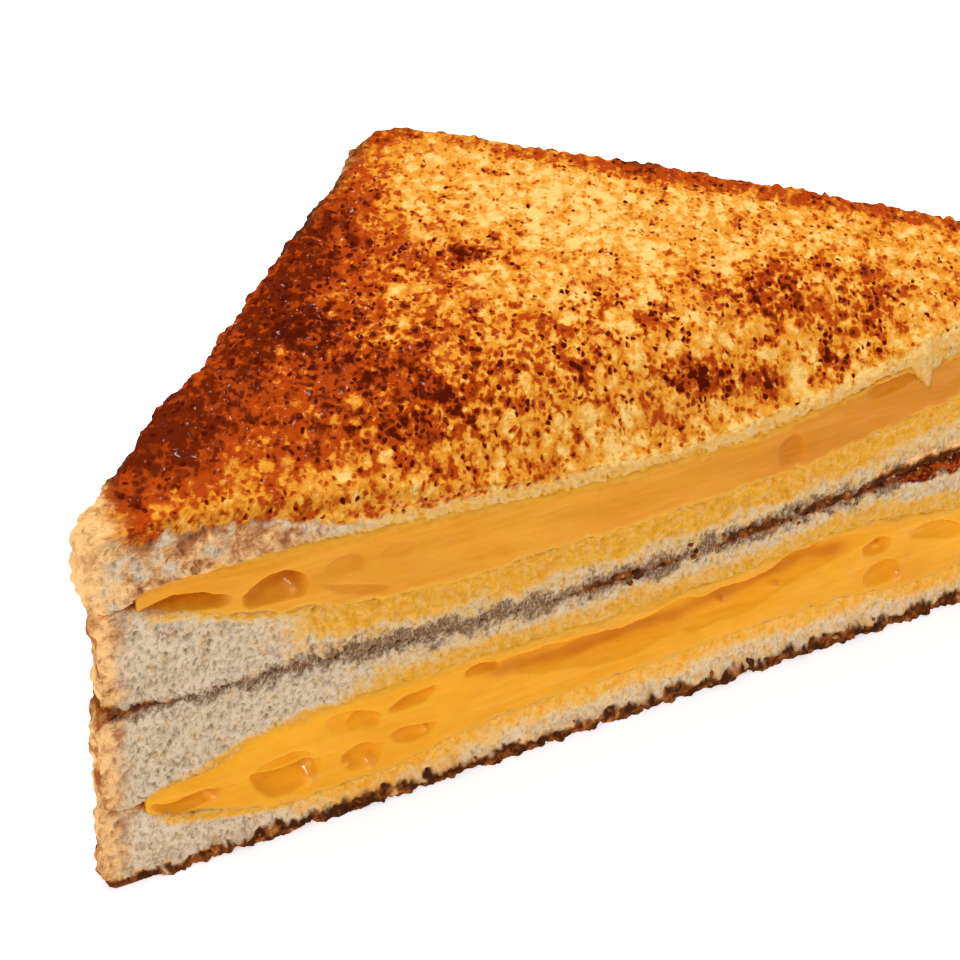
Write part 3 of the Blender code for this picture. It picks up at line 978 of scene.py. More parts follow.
def slice_of_bread(name, sizes, material):
    """One slice of bread, finished, in the place of its plain solid."""
    kind = SimpleNamespace(overhang=SLICE_OVERHANG[name], **SLICES[name])
    kind.is_top = kind.roof is top
    kind.is_bottom = kind.floor is ground
    kind.over_seam = kind.floor is seam
    kind.under_seam = kind.roof is seam
    made = shell_of_slice(kind, sizes)
    at = places_on_slice(kind, made)
    coat = coat_slice(kind, at)
    roughen(kind, at, coat, sizes)
    brown_faces(kind, at, coat)
    brown_crust(kind, at, coat)
    if kind.is_bottom:
        rim_of_bottom(at, coat)
    if kind.is_top:
        rim_of_top(at, coat)
    moved = at.p + made.normals * coat.relief[:, None]
    if kind.is_top:
        hang_flap(at, moved)
        moved += squeezed_shape(at.x, at.y, at.z)
    if kind.is_bottom:
        lift_edge(at, moved)
    marks = {mark: getattr(coat, mark) for mark in BREAD_MARKS}
    layout = "toast" if kind.is_top else "cut"
    piece = mesh_piece(name + "_bread", moved, made.triangles, marks, material, unwrapped(made, layout))
    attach(piece, "root")
    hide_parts(name)
    return piece


def squeezed_shape(x, y, z):
    """The top slice bulges at its left end, where it was squeezed, and runs out to a sharper apex."""
    upper = smooth((z - 38) / 6)
    bulge = 0.1 * bell((z - 43.5) / 3.0) * bell(y / 4.0) * smooth((-66 - x) / 6)
    shoulder = 0.6 * bell((x + 58) / 6, (y - 18.5) / 6) * upper
    shoulder -= 0.5 * bell((x + 45.5) / 7, (y - 30) / 7) * upper
    apex_y = HALF_DIAGONAL - CORNER_RADIUS * (ROOT2 - 1)
    corner = 1.5 * bell((x + 1.5) / 5.5, (y - apex_y) / 6) * upper
    along = -bulge - shoulder / ROOT2 - corner * 0.35
    back = corner + shoulder / ROOT2
    return np.stack([along, back, shoulder / 2 + corner * 0.3], axis=1)


# ---------------------------------------------------------------------------------------------------------
# Relief of the cheese
# ---------------------------------------------------------------------------------------------------------

# Hollows in the cut face of the cheese. Each hangs from a top edge: its middle along the cut, the height of
# the edge or its course, half its width, how far it reaches down, its depth, and how much its ends droop.
UPPER_HOLLOWS = (
    (-61.4, ((-67, 38.6), (-64, 39.4), (-60, 38.9), (-56, 37.2)), 5.2, 2.4, 2.2, 0.0),
    (-51.3, 39.0, 4.0, 4.2, 2.4, 0.55),
    (-43.0, 38.6, 2.6, 2.6, 0.35, 0.5),
    (-36.5, 38.3, 2.4, 2.2, 0.3, 0.5),
    (-41.5, ((-46, 35.8), (-42, 34.2), (-37, 32.6)), 4.6, 1.6, 0.5, 0.0),
    (17.4, 37.2, 2.0, 4.2, 0.6, 0.4),
    (32.0, ((26, 40.6), (32, 41.6), (36, 42.0)), 5.0, 2.2, 0.8, 0.0),
    (52.0, 41.0, 4.0, 3.0, 1.6, 0.4),
)
LONG_LIP = (
    (-24, 16.0), (-14, 16.0), (-10, 15.6), (-6.5, 15.2), (-3, 15.3), (0.7, 16.2), (3.2, 16.8), (6.7, 16.1),
    (10, 16.4), (14.4, 16.3), (18, 17.2), (20, 18.1), (23.5, 18.6), (27.5, 18.5), (31, 18.2), (34, 17.6),
)
# The dark band of cheese in the shade of the long lip: the height of its middle along the cut, half its
# height, and how dark it is.
LIP_SHADE = (
    (-24, 14.7), (-18, 14.2), (-14, 13.6), (-8, 13.3), (-2, 13.4), (4, 13.7), (10, 14.3), (14, 14.4),
    (18, 15.5), (20, 15.9), (23, 16.8), (26, 16.4), (29, 16.4), (34, 16.0),
)
LIP_SHADE_HALF = 1.4
LIP_SHADE_MOST = 0.62
LOWER_HOLLOWS = (
    (-62.2, ((-66, 11.2), (-64.3, 10.6), (-60, 10.7), (-58.4, 10.3)), 4.3, 2.5, 1.7, 0.0),
    (-50.1, ((-54.6, 11.3), (-52, 10.6), (-49.5, 10.7), (-47.6, 10.7), (-45.9, 10.0)), 4.6, 4.4, 2.3, 0.0),
    (-50.2, ((-53.8, 11.6), (-51.4, 12.3), (-48.9, 12.4), (-46.6, 11.3)), 3.8, 1.9, 0.9, 0.0),
    (-41.6, ((-45, 15.6), (-42.9, 15.8), (-40.3, 15.2), (-38.2, 13.6)), 3.6, 3.4, 0.7, 0.0),
    (-40.2, ((-42.6, 14.1), (-41.3, 15.0), (-39.7, 15.0), (-38, 13.8)), 2.5, 2.8, 1.5, 0.0),
    (-40.2, ((-43, 9.2), (-41.2, 10.0), (-39.5, 10.0), (-37.6, 9.0)), 2.8, 3.9, 1.4, 0.0),
    (-33.8, ((-37, 14.4), (-35.5, 15.2), (-33, 15.4), (-30.6, 15.6)), 3.3, 2.2, 1.5, 0.0),
    (-33.5, ((-36.6, 10.3), (-34.6, 10.5), (-32.9, 10.2), (-30.5, 9.9)), 3.1, 2.5, 1.5, 0.0),
    (-24.6, 16.7, 2.5, 1.8, 1.3, 0.45),
    (5.0, LONG_LIP, 28.5, 5.6, 1.5, 0.0),
    (34.8, 16.4, 2.5, 3.0, 1.5, 0.3),
    (36.4, 12.0, 3.0, 4.0, 1.5, 0.3),
    (45.0, ((39, 15.6), (43.6, 16.0), (47.5, 14.9), (51, 13.6)), 5.0, 2.8, 1.0, 0.0),
    (56.0, 12.4, 3.0, 3.0, 1.6, 0.3),
)
# Beads of melted fat in the hollows: place along the cut, height, width, length.
UPPER_BEADS = ((-49.2, 36.0, 0.6, 0.9),)
LOWER_BEADS = (
    (-59.0, 9.4, 0.5, 0.6),
    (-47.1, 7.7, 0.55, 1.0),
    (-46.8, 9.2, 0.4, 0.6),
    (-39.3, 6.7, 0.6, 0.8),
    (-42.1, 7.7, 0.4, 0.4),
    (-31.9, 9.0, 0.4, 0.5),
    (39.2, 8.9, 0.6, 0.8),
    (35.1, 14.7, 0.5, 0.4),
    (18.7, 13.6, 0.6, 0.3),
    (10.5, 13.6, 0.4, 0.3),
)
CHEESES = {
    "lower_cheese": dict(
        floor=lower_floor, roof=lower_roof, hollows=LOWER_HOLLOWS, beads=LOWER_BEADS, seed=71, rows=60,
    ),
    "upper_cheese": dict(
        floor=upper_floor, roof=upper_roof, hollows=UPPER_HOLLOWS, beads=UPPER_BEADS, seed=83, rows=50,
    ),
}
# How far cheese has sunk into the bread, how rounded its edges are, and how much of that shows at the cut.
CHEESE_SINK = 0.45
CHEESE_ROUND = 1.6
CHEESE_DRAW = 0.3
# Its mesh step along the cut, as a share of the bread's, and along the crust, in millimetres.
CHEESE_STEP = 1.05
CHEESE_SIDE_STEP = 2.0
# The depth from which the painted shade in a hollow is at its darkest, and how far a bead of fat stands out.
DEEPEST_SHADE = 1.4
BEAD_OUT = 0.9


def hollows_at(x, z, hollows, seed):
    """How far each place of the face is drawn in, and how much painted shade it gets inside a hollow and
    under a lip.
    """
    depth, inside, under_lip = np.zeros_like(x), np.zeros_like(x), np.zeros_like(x)
    p = np.stack([x, np.zeros_like(x), z], axis=1)
    ragged = 0.25 * noise(p, 3.0, seed) + 0.12 * noise(p, 1.1, seed + 1)
    for middle, edge, half, reach, deep, droop in hollows:
        u = (x - middle) / half
        lip = through(edge, x) if isinstance(edge, tuple) else edge - droop * reach * u**2
        down = lip + ragged - z
        left = np.clip(1 - np.abs(u) ** 2.4 - np.maximum(down / reach, 0) ** 2, 0, 1)
        ends = smooth((1 - np.abs(u)) / 0.3)
        depth = np.maximum(depth, deep * smooth(down / 0.4) * left**0.8)
        strength = ends * min(deep, DEEPEST_SHADE) / DEEPEST_SHADE
        # Painted shade inside the hollow, strongest under the lip and fading downwards.
        fading = bell(np.maximum(down, 0) / (0.75 * reach))
        inside = np.maximum(inside, smooth(down / 0.3) * smooth(left / 0.3) * strength * fading)
        # Painted shade: a dark band just under the lip, where it overhangs the cheese.
        shadow = smooth(down / 0.2) * bell(np.maximum(down, 0) / 0.5)
        under_lip = np.maximum(under_lip, shadow * strength)
        swollen_lip = bell((down + 0.35) / 0.35) * ends
        depth = depth - 0.2 * min(deep, 1.0) * swollen_lip
    return depth, inside, under_lip


def beads_at(x, z, beads):
    """How much of a bead of fat is at each place."""
    fat = np.zeros_like(x)
    for bead_x, bead_z, width, tall in beads:
        fat = np.maximum(fat, bell((x - bead_x) / width, (z - bead_z) / tall))
    return fat


def shell_of_cheese(kind, sizes):
    """The closed mesh of a filling, before its relief."""
    bulge = sizes.cheese_bulge / MM

    def ragged(x, y, level, seed):
        p = np.stack([x, y, np.full_like(x, level)], axis=1)
        return CHEESE_SINK + 0.45 * noise(p, 3.2, seed) + 0.28 * noise(p, 1.2, seed + 1)

    def floor(x, y):
        return kind.floor(x, y) - ragged(x, y, 3.0, kind.seed)

    def roof(x, y):
        return kind.roof(x, y) + ragged(x, y, 7.0, kind.seed + 2)

    def insets(x, y, from_low, from_high):
        drawn = rounding(from_low, CHEESE_ROUND) + rounding(from_high, CHEESE_ROUND)
        swollen = bulge * smooth((66 - np.abs(x)) / 12)
        return CHEESE_INSET + drawn * 0.5, CHEESE_DRAW * drawn - swollen + 0.1

    hidden_step = sizes.hidden_step / MM
    steps = (sizes.cut_step / MM * CHEESE_STEP, CHEESE_SIDE_STEP, hidden_step, hidden_step)
    face_insets = (CHEESE_INSET + CHEESE_ROUND * 0.5, lambda x: CHEESE_ROUND * CHEESE_DRAW + 0.1)
    return closed_shell(floor, roof, insets, kind.rows, steps, face_insets, kind.seed)


def filling_of_cheese(name, sizes, material):
    """One filling of cheese, finished, in the place of its plain solid."""
    kind = SimpleNamespace(**CHEESES[name])
    made = shell_of_cheese(kind, sizes)
    p, normal = made.points, made.normals
    x, y, z = p.T
    cut = smooth((-normal[:, 1] - 0.1) / 0.5)
    # The hollow and lip marks are painted shade: darker cheese inside the hollows and under their lips.
    depth, hollow, under_lip = hollows_at(x, z, kind.hollows, kind.seed + 4)
    fat = beads_at(x, z, kind.beads)
    edge = np.minimum(made.above_floor, made.below_roof) + 0.4 * noise(p, 1.3, kind.seed + 10)
    rim = smooth((1.8 - edge) / 1.6)
    warmth = 0.2 + 0.25 * noise(p, 14.0, kind.seed + 12) + 0.12 * noise(p, 3.0, kind.seed + 13)
    if kind.roof is upper_roof:
        warmth += 0.15 + 0.75 * smooth((x + 2) / 24)
    if kind.roof is lower_roof:
        reach = smooth((x + 27) / 6) * smooth((33 - x) / 6)
        # Painted shade: a dark band under the long lip.
        shade = bell((z - through(LIP_SHADE, x)) / LIP_SHADE_HALF)
        patchy = 1 + 0.2 * noise(p, 3.0, kind.seed + 14)
        under_lip = np.maximum(under_lip, LIP_SHADE_MOST * reach * shade * patchy)
        rim = np.maximum(rim, reach * smooth((z - through(LONG_LIP, x) - 0.1) / 0.5))

    smears = 0.07 * noise(p, np.array([9.0, 3.0, 0.8]), kind.seed + 6)
    smears += 0.04 * noise(p, np.array([4.0, 2.0, 0.45]), kind.seed + 7)
    swell = 0.32 * noise(p, np.array([12.0, 6.0, 3.5]), kind.seed + 8) + 0.12 * noise(p, 2.4, kind.seed + 9)
    relief = (swell + smears + 0.14 * noise(p, 0.9, kind.seed + 11) * rim) * cut
    moved = p + normal * relief[:, None]
    moved[:, 1] += (depth - BEAD_OUT * fat) * cut
    marks = dict(
        hollow=hollow * cut,
        under_lip=under_lip * cut,
        edge=rim * cut,
        warmth=np.clip(warmth, 0, 1),
        fat=fat * cut,
    )
    piece = mesh_piece(name + "_filling", moved, made.triangles, marks, material, unwrapped(made, "cut"))
    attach(piece, "root")
    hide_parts(name)
    return piece


# ---------------------------------------------------------------------------------------------------------
# Materials
# ---------------------------------------------------------------------------------------------------------


class Wiring:
    """Adds nodes to one node tree and links them."""

    def __init__(self, tree):
        self.tree = tree

    def feed(self, node, inputs):
        """Links or sets a node's sockets."""
        for name, value in inputs.items():
            if isinstance(value, bpy.types.NodeSocket):
                self.tree.links.new(value, node.inputs[name])
            else:
                node.inputs[name].default_value = value

    def node(self, kind, inputs=None, **settings):
        """A node with its settings, and with its sockets fed."""
        made = self.tree.nodes.new(kind)
        for setting, value in settings.items():
            setattr(made, setting, value)
        self.feed(made, inputs or {})
        return made

    def maths(self, operation, a, b, clamp=False):
        made = self.node("ShaderNodeMath", {0: a, 1: b}, operation=operation, use_clamp=clamp)
        return made.outputs[0]

    def plus(self, a, b):
        return self.maths("ADD", a, b)

    def minus(self, a, b):
        return self.maths("SUBTRACT", a, b)

    def times(self, a, b, clamp=False):
        return self.maths("MULTIPLY", a, b, clamp)

    def most(self, a, b):
        return self.maths("MAXIMUM", a, b)

    def scatter(self, tone, value, amount):
        """Adds a noise, centred on nothing, to a tone."""
        return self.plus(tone, self.times(self.minus(value, 0.5), amount))

    def blend(self, share, a, b):
        """One colour into another."""
        inputs = {0: share, 6: a, 7: b}
        return self.node("ShaderNodeMix", inputs, data_type="RGBA", clamp_factor=True).outputs[2]

    def step(self, value, low, high, to_low=0.0, to_high=1.0):
        """From to_low to to_high in an S curve, as the value goes from low to high."""
        inputs = {"Value": value, "From Min": low, "From Max": high, "To Min": to_low, "To Max": to_high}
        return self.node("ShaderNodeMapRange", inputs, interpolation_type="SMOOTHSTEP").outputs[0]

    def place(self, stretch=(1.0, 1.0, 1.0)):
        """The place on the piece in millimetres, squeezed by stretch."""
        factors = tuple(1 / MM / share for share in stretch)
        return self.scaled(self.node("ShaderNodeTexCoord").outputs["Object"], factors)

    def scaled(self, spot, factors):
        return self.node("ShaderNodeVectorMath", {0: spot, 1: factors}, operation="MULTIPLY").outputs[0]

    def noise(self, place, size, detail=2.0, roughness=0.5, distortion=0.0):
        inputs = {"Vector": place, "Scale": 1 / size, "Detail": detail}
        inputs |= {"Roughness": roughness, "Distortion": distortion}
        return self.node("ShaderNodeTexNoise", inputs).outputs["Fac"]

    def spots(self, place, size):
        """The distance to the nearest of one random spot a cell, and a random value of that spot."""
        made = self.node("ShaderNodeTexVoronoi", {"Vector": place, "Scale": 1 / size})
        return made.outputs["Distance"], made.outputs["Color"]

    def mark(self, name):
        return self.node("ShaderNodeAttribute", attribute_name=name).outputs["Fac"]


def effect(name, inputs, outputs, fill):
    """A node group with named inputs and outputs, made once. fill wires it and returns its outputs."""
    if name in bpy.data.node_groups:
        return bpy.data.node_groups[name]
    group = bpy.data.node_groups.new(name, "ShaderNodeTree")
    for direction, sockets in (("INPUT", inputs), ("OUTPUT", outputs)):
        for socket, kind in sockets.items():
            group.interface.new_socket(socket, in_out=direction, socket_type=kind)
    wiring = Wiring(group)
    given = wiring.node("NodeGroupInput").outputs
    results = fill(wiring, given)
    wiring.node("NodeGroupOutput", results)
    return group


NUMBER = "NodeSocketFloat"
COLOUR = "NodeSocketColor"


# The browned grain of the toast runs across the slice at this angle from the cut, is this much longer than
# it is wide, and wanders over this distance. Then the sizes of its grains, its pale pits and its dark dots.
GRAIN_TURN = math.radians(58)
GRAIN_STRETCH = 1.5
GRAIN_WANDER = 1.6
GRAIN_SIZE = 0.68
PIT_SIZE = 2.4
DOT_SIZES = (0.85, 1.45)


def along_grain(w):
    """The place on the toast in millimetres, stretched along its grain, which wanders."""
    lengthwise = {"Rotation": (0.0, 0.0, GRAIN_TURN), "Scale": (GRAIN_STRETCH, 1.0, 1.0)}
    lengthwise["Vector"] = w.place()
    straight = w.node("ShaderNodeMapping", lengthwise, vector_type="TEXTURE").outputs[0]
    wander = w.node("ShaderNodeTexNoise", {"Vector": straight, "Scale": 1 / GRAIN_WANDER, "Detail": 2.0})
    both = {0: straight, 1: wander.outputs["Color"]}
    return w.node("ShaderNodeVectorMath", both, operation="ADD").outputs[0]


def toasted_face():
    """Browning that follows the grain, round dark specks, pale pits and glints of grease."""

    def fill(w, given):
        place = along_grain(w)
        coarse = w.noise(place, 4.5)
        fine = w.noise(place, 0.4, 1.0)
        grain_middle, grain_own = w.spots(place, GRAIN_SIZE)
        in_grain = w.step(grain_middle, 0.3, 0.65, 1.0, 0.0)
        pit_middle, pit_own = w.spots(place, PIT_SIZE)
        pit = w.minus(w.times(pit_own, 0.66), pit_middle)
        pit = w.step(w.scatter(pit, fine, 0.2), 0.0, 0.14)

        tone = w.scatter(given["Browning"], coarse, 0.8)
        tone = w.scatter(tone, w.noise(place, 1.2), 1.7)
        tone = w.scatter(tone, fine, 0.5)
        tone = w.scatter(tone, grain_own, w.times(in_grain, 0.6))
        tone = w.scatter(tone, w.spots(place, 2.2)[0], 0.7)
        tone = w.plus(tone, w.times(given["Grain"], 0.1))
        tone = w.minus(tone, w.times(pit, 0.3))

        cluster = w.minus(w.times(given["Specks"], 0.50), 0.465)
        cluster = w.scatter(cluster, w.noise(place, 1.9, 1.5), 1.1)
        cluster = w.scatter(cluster, grain_own, w.times(in_grain, 1.15))
        cluster = w.scatter(cluster, coarse, 0.4)
        cluster = w.minus(cluster, w.times(pit, 0.12))
        dots = -1.0
        for size in DOT_SIZES:
            dot_middle, dot_own = w.spots(place, size)
            dot = w.plus(w.times(w.minus(dot_own, 0.85), 0.8), w.times(given["Specks"], 0.60))
            dots = w.most(dots, w.minus(dot, dot_middle))
        dots = w.scatter(dots, fine, 0.3)
        tone = w.plus(tone, w.step(cluster, -0.4, 0.1, 0.0, 0.65))
        tone = w.plus(tone, w.step(dots, -0.4, 0.02, 0.0, 0.75))

        colour = w.blend(w.step(tone, -0.3, 0.35), given["Pale"], given["Golden"])
        colour = w.blend(w.step(tone, 0.3, 0.95), colour, given["Brown"])
        colour = w.blend(w.step(tone, 1.0, 2.0, 0.0, 0.85), colour, given["Burnt"])
        most_burnt = w.step(grain_own, 0.2, 0.8, 0.8, 1.0)
        burnt = w.step(w.most(cluster, dots), 0.0, 0.1, 0.0, most_burnt)
        colour = w.blend(burnt, colour, given["Burnt"])
        grease = w.plus(w.noise(place, 0.5, 1.0), w.times(given["Grain"], 0.06))
        return {
            "Color": colour,
            "Roughness": w.step(coarse, 0.35, 0.65, 0.38, 0.55),
            "Grease": w.step(grease, 0.67, 0.75, 0.0, 0.55),
        }

    inputs = {"Browning": NUMBER, "Specks": NUMBER, "Grain": NUMBER}
    inputs |= {"Pale": COLOUR, "Golden": COLOUR, "Brown": COLOUR, "Burnt": COLOUR}
    return effect("Toasted Face", inputs, {"Color": COLOUR, "Roughness": NUMBER, "Grease": NUMBER}, fill)


def soft_crumb():
    """Cut crumb: slanted grain and pores, soaked yellow by cheese and pressed dark along the seam."""

    def fill(w, given):
        slanted = w.place((0.85, 1.0, 1.1))
        grain = w.noise(slanted, 0.7, 3.0, 0.7, 0.4)
        shade = w.most(w.step(grain, 0.42, 0.7, 0.0, 0.8), given["Pit"])
        shade = w.scatter(shade, w.noise(slanted, 4.0), 0.9)
        dry = w.minus(1.0, w.times(given["Soak"], 0.55))
        shade = w.times(shade, dry, clamp=True)
        colour = w.blend(shade, given["Crumb"], given["Shade"])

        wet = w.scatter(given["Soak"], grain, 0.5)
        wet = w.scatter(wet, w.noise(slanted, 1.7), 1.1)
        buttery = w.blend(shade, given["Buttery"], given["Soaked"])
        colour = w.blend(w.step(wet, 0.0, 0.6), colour, buttery)
        colour = w.blend(w.step(wet, 0.4, 0.95), colour, given["Soaked"])
        through_and_through = w.scatter(wet, w.noise(slanted, 2.4, 2.0, 0.45), 2.6)
        colour = w.blend(w.step(through_and_through, 0.75, 1.4, 0.0, 0.85), colour, given["Soaked Shade"])
        # Painted light: the crumb colour is made lighter by the lift that the slice gives it.
        bright = {"Color": colour, "Value": given["Brightness"]}
        colour = w.node("ShaderNodeHueSaturation", bright).outputs[0]

        dark = w.scatter(given["Press"], grain, 2.4)
        dark = w.plus(dark, w.times(w.times(given["Pit"], given["Press"]), 0.5))
        colour = w.blend(w.step(dark, 0.1, 1.5, 0.0, 0.95), colour, given["Pressed"])
        fibres = w.noise(w.place((0.5, 1.0, 1.4)), 0.55, 3.0, 0.65, 0.8)
        frosty = w.times(w.step(fibres, 0.5, 0.66), w.step(given["Press"], 0.0, 0.6, 0.0, 0.55))
        colour = w.blend(frosty, colour, given["Crumb"])
        patches = w.step(w.noise(slanted, 0.9), 0.5, 0.62)
        return {
            "Color": colour,
            "Roughness": w.step(wet, 0.2, 0.9, 0.8, 0.3),
            "Film": w.times(patches, w.step(wet, 0.3, 0.9, 0.0, 0.8)),
        }

    inputs = {"Pit": NUMBER, "Soak": NUMBER, "Press": NUMBER, "Brightness": NUMBER}
    inputs |= {"Crumb": COLOUR, "Shade": COLOUR, "Buttery": COLOUR}
    inputs |= {"Soaked": COLOUR, "Soaked Shade": COLOUR, "Pressed": COLOUR}
    return effect("Soft Crumb", inputs, {"Color": COLOUR, "Roughness": NUMBER, "Film": NUMBER}, fill)


def crust_skin():
    """Crust: tan to brown, granular, with dark flecks."""

    def fill(w, given):
        mottle = w.noise(w.place(), 1.7, 5.0, 0.72, 0.5)
        tone = w.scatter(given["Browning"], mottle, 2.6)
        colour = w.blend(w.step(tone, -0.05, 0.8), given["Tan"], given["Brown"])
        colour = w.blend(w.step(tone, 0.7, 1.3), colour, given["Dark"])
        return {"Color": colour, "Roughness": w.step(mottle, 0.3, 0.7, 0.45, 0.7)}

    inputs = {"Browning": NUMBER, "Tan": COLOUR, "Brown": COLOUR, "Dark": COLOUR}
    return effect("Crust Skin", inputs, {"Color": COLOUR, "Roughness": NUMBER}, fill)


def fine_grain():
    """A height for bumps that are finer than the mesh."""

    def fill(w, given):
        small = w.scaled(w.node("ShaderNodeTexCoord").outputs["Object"], given["Grains per Metre"])
        return {"Height": w.noise(small, 1.0, 3.0, 0.6)}

    return effect("Fine Grain", {"Grains per Metre": "NodeSocketVector"}, {"Height": NUMBER}, fill)


def new_material(name):
    """A material with one shader, and what adds nodes to it."""
    material = bpy.data.materials.new(name)
    material.use_nodes = True
    material.node_tree.nodes.clear()
    w = Wiring(material.node_tree)
    shader = w.node("ShaderNodeBsdfPrincipled")
    w.node("ShaderNodeOutputMaterial", {"Surface": shader.outputs["BSDF"]})
    return material, w, shader


def bump(w, size, stretch, depth):
    """A normal from fine grain of a size in millimetres."""
    grains = tuple(1 / (size * MM * share) for share in stretch)
    height = placed(w, fine_grain(), {"Grains per Metre": grains})["Height"]
    return w.node("ShaderNodeBump", {"Height": height, "Distance": depth * MM}).outputs["Normal"]


def placed(w, group, values):
    """A group in a material, with its values."""
    return w.node("ShaderNodeGroup", values, node_tree=group).outputs


def bread_material(name, colours):
    """Bread: crumb where it is cut, crust round the side, toast on its outer faces."""
    material, w, shader = new_material(name)
    crumb = placed(w, soft_crumb(), {
        "Pit": w.mark("pit"),
        "Soak": w.mark("soak"),
        "Press": w.mark("press"),
        "Brightness": w.mark("brightness"),
        "Crumb": colours.crumb,
        "Shade": colours.crumb_shade,
        "Buttery": colours.buttery_crumb,
        "Soaked": colours.soaked_crumb,
        "Soaked Shade": colours.soaked_shade,
        "Pressed": colours.pressed_crumb,
    })
    crust = placed(w, crust_skin(), {
        "Browning": w.mark("crust_brown"),
        "Tan": colours.crust_tan,
        "Brown": colours.crust_brown,
        "Dark": colours.crust_dark,
    })
    toast = placed(w, toasted_face(), {
        "Browning": w.mark("browning"),
        "Specks": w.mark("specks"),
        "Grain": w.mark("grain"),
        "Pale": colours.toast_pale,
        "Golden": colours.toast_golden,
        "Brown": colours.toast_brown,
        "Burnt": colours.toast_burnt,
    })
    toast_share, crust_share = w.mark("toast"), w.mark("crust")
    colour = w.blend(crust_share, crumb["Color"], crust["Color"])
    rough = w.blend(crust_share, crumb["Roughness"], crust["Roughness"])
    film = w.times(crumb["Film"], w.minus(1.0, crust_share))
    grease = w.times(toast["Grease"], toast_share)
    w.feed(shader, {
        "Base Color": w.blend(toast_share, colour, toast["Color"]),
        "Roughness": w.blend(toast_share, rough, toast["Roughness"]),
        "Coat Weight": w.most(film, grease),
        "Normal": bump(w, 0.7, (1, 1, 1), 0.4),
        "Coat Roughness": 0.12,
        "Specular IOR Level": 0.0,
    })
    return material


def cheese_material(name, main, strip, inside, deep, soaked, roughness):
    """Melted cheese: smooth and a little see-through, with painted shade in its hollows and under their lips.
    """
    material, w, shader = new_material(name)
    place = w.place()
    streak = w.noise(w.place((5.0, 3.0, 0.8)), 1.0, 3.0)
    cloud = w.noise(place, 6.0)
    colour = w.blend(w.step(cloud, 0.3, 0.7, 0.0, 0.35), main, strip)
    colour = w.blend(w.step(streak, 0.35, 0.75, 0.0, 0.25), colour, strip)
    colour = w.blend(w.times(w.mark("warmth"), 0.5), colour, deep)
    # Painted shade: darker cheese inside the hollows, and a darker band under each lip.
    colour = w.blend(w.times(w.mark("hollow"), 0.9), colour, inside)
    colour = w.blend(w.step(w.mark("under_lip"), 0.0, 0.9, 0.0, 0.8), colour, deep)
    smudge = w.scatter(w.mark("edge"), w.noise(place, 0.9, 2.0, 0.6), 0.8)
    colour = w.blend(w.step(smudge, 0.35, 1.1, 0.0, 0.75), colour, soaked)
    film = w.step(w.mark("under_lip"), 0.0, 0.5, 0.05, 0.0)
    w.feed(shader, {
        "Base Color": colour,
        "Roughness": w.step(cloud, 0.3, 0.7, roughness, roughness + 0.12),
        "Coat Weight": w.most(film, w.mark("fat")),
        "Normal": bump(w, 1.2, (4.0, 2.0, 0.8), 0.1),
        "Coat Roughness": 0.07,
        "Specular IOR Level": 0.06,
        "Subsurface Weight": 0.35,
        "Subsurface Radius": (1.0, 0.45, 0.12),
        "Subsurface Scale": 1.6 * MM,
    })
    return material


# ---------------------------------------------------------------------------------------------------------
# Loose crumbs
# ---------------------------------------------------------------------------------------------------------


def lump():
    """A small ball of triangles: an icosahedron with each face cut in four."""
    t = (1 + math.sqrt(5)) / 2
    points = []
    for a in (-1, 1):
        for b in (-t, t):
            points += [(0, a, b), (a, b, 0), (b, 0, a)]
    points = np.array(points, float)
    points /= np.linalg.norm(points[0])
    gaps = np.linalg.norm(points[:, None] - points[None], axis=2)
    side = gaps[gaps > 0.1].min() * 1.01
    faces = []
    for i, j, k in itertools.combinations(range(12), 3):
        if max(gaps[i, j], gaps[j, k], gaps[i, k]) < side:
            outwards = np.dot(np.cross(points[j] - points[i], points[k] - points[i]), points[i]) > 0
            faces.append((i, j, k) if outwards else (i, k, j))
    finer, middles = [], {}
    points = list(points)

    def middle(i, j):
        key = (min(i, j), max(i, j))
        if key not in middles:
            middles[key] = len(points)
            spot = points[i] + points[j]
            points.append(spot / np.linalg.norm(spot))
        return middles[key]

    for i, j, k in faces:
        ij, jk, ki = middle(i, j), middle(j, k), middle(k, i)
        finer += [(i, ij, ki), (ij, j, jk), (ki, jk, k), (ij, jk, ki)]
    return np.array(points), np.array(finer)


def crumbs(name, places, widths, material, tones, seed):
    """Many small ragged crumbs as one mesh. tones are how brown each is."""
    ball, faces = lump()
    random = np.random.default_rng(seed)
    points, triangles, browning = [], [], []
    for k, (place, width, tone) in enumerate(zip(places, widths, tones)):
        shape = ball * random.uniform(0.6, 1.3, 3) * width / 2
        shape = shape * (1 + 0.5 * noise(ball + k * 7.3, 0.9, seed)[:, None])
        points.append(shape + place)
        triangles.append(faces + k * len(ball))
        browning.append(np.full(len(ball), tone))
    points, triangles = np.concatenate(points), np.concatenate(triangles)
    browning = np.concatenate(browning)
    zero = np.zeros(len(points))
    marks = dict.fromkeys(BREAD_MARKS, zero)
    marks.update(crust=zero + 1, brightness=zero + 1, browning=browning, crust_brown=browning)
    piece = mesh_piece(name, points, triangles, marks, material)
    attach(piece, "root")
    return piece


# ---------------------------------------------------------------------------------------------------------
# Operators
# ---------------------------------------------------------------------------------------------------------


class SANDWICH_OT_bread(bpy.types.Operator):
    """Build the four slices of bread"""

    bl_idname = "sandwich.bread"
    bl_label = "Bread Slices"

    def execute(self, context):
        sizes, colours = context.scene.sandwich_sizes, context.scene.sandwich_colours
        bread = bread_material("Toasted bread", colours)
        for name in SLICES:
            slice_of_bread(name, sizes, bread)
        return {"FINISHED"}


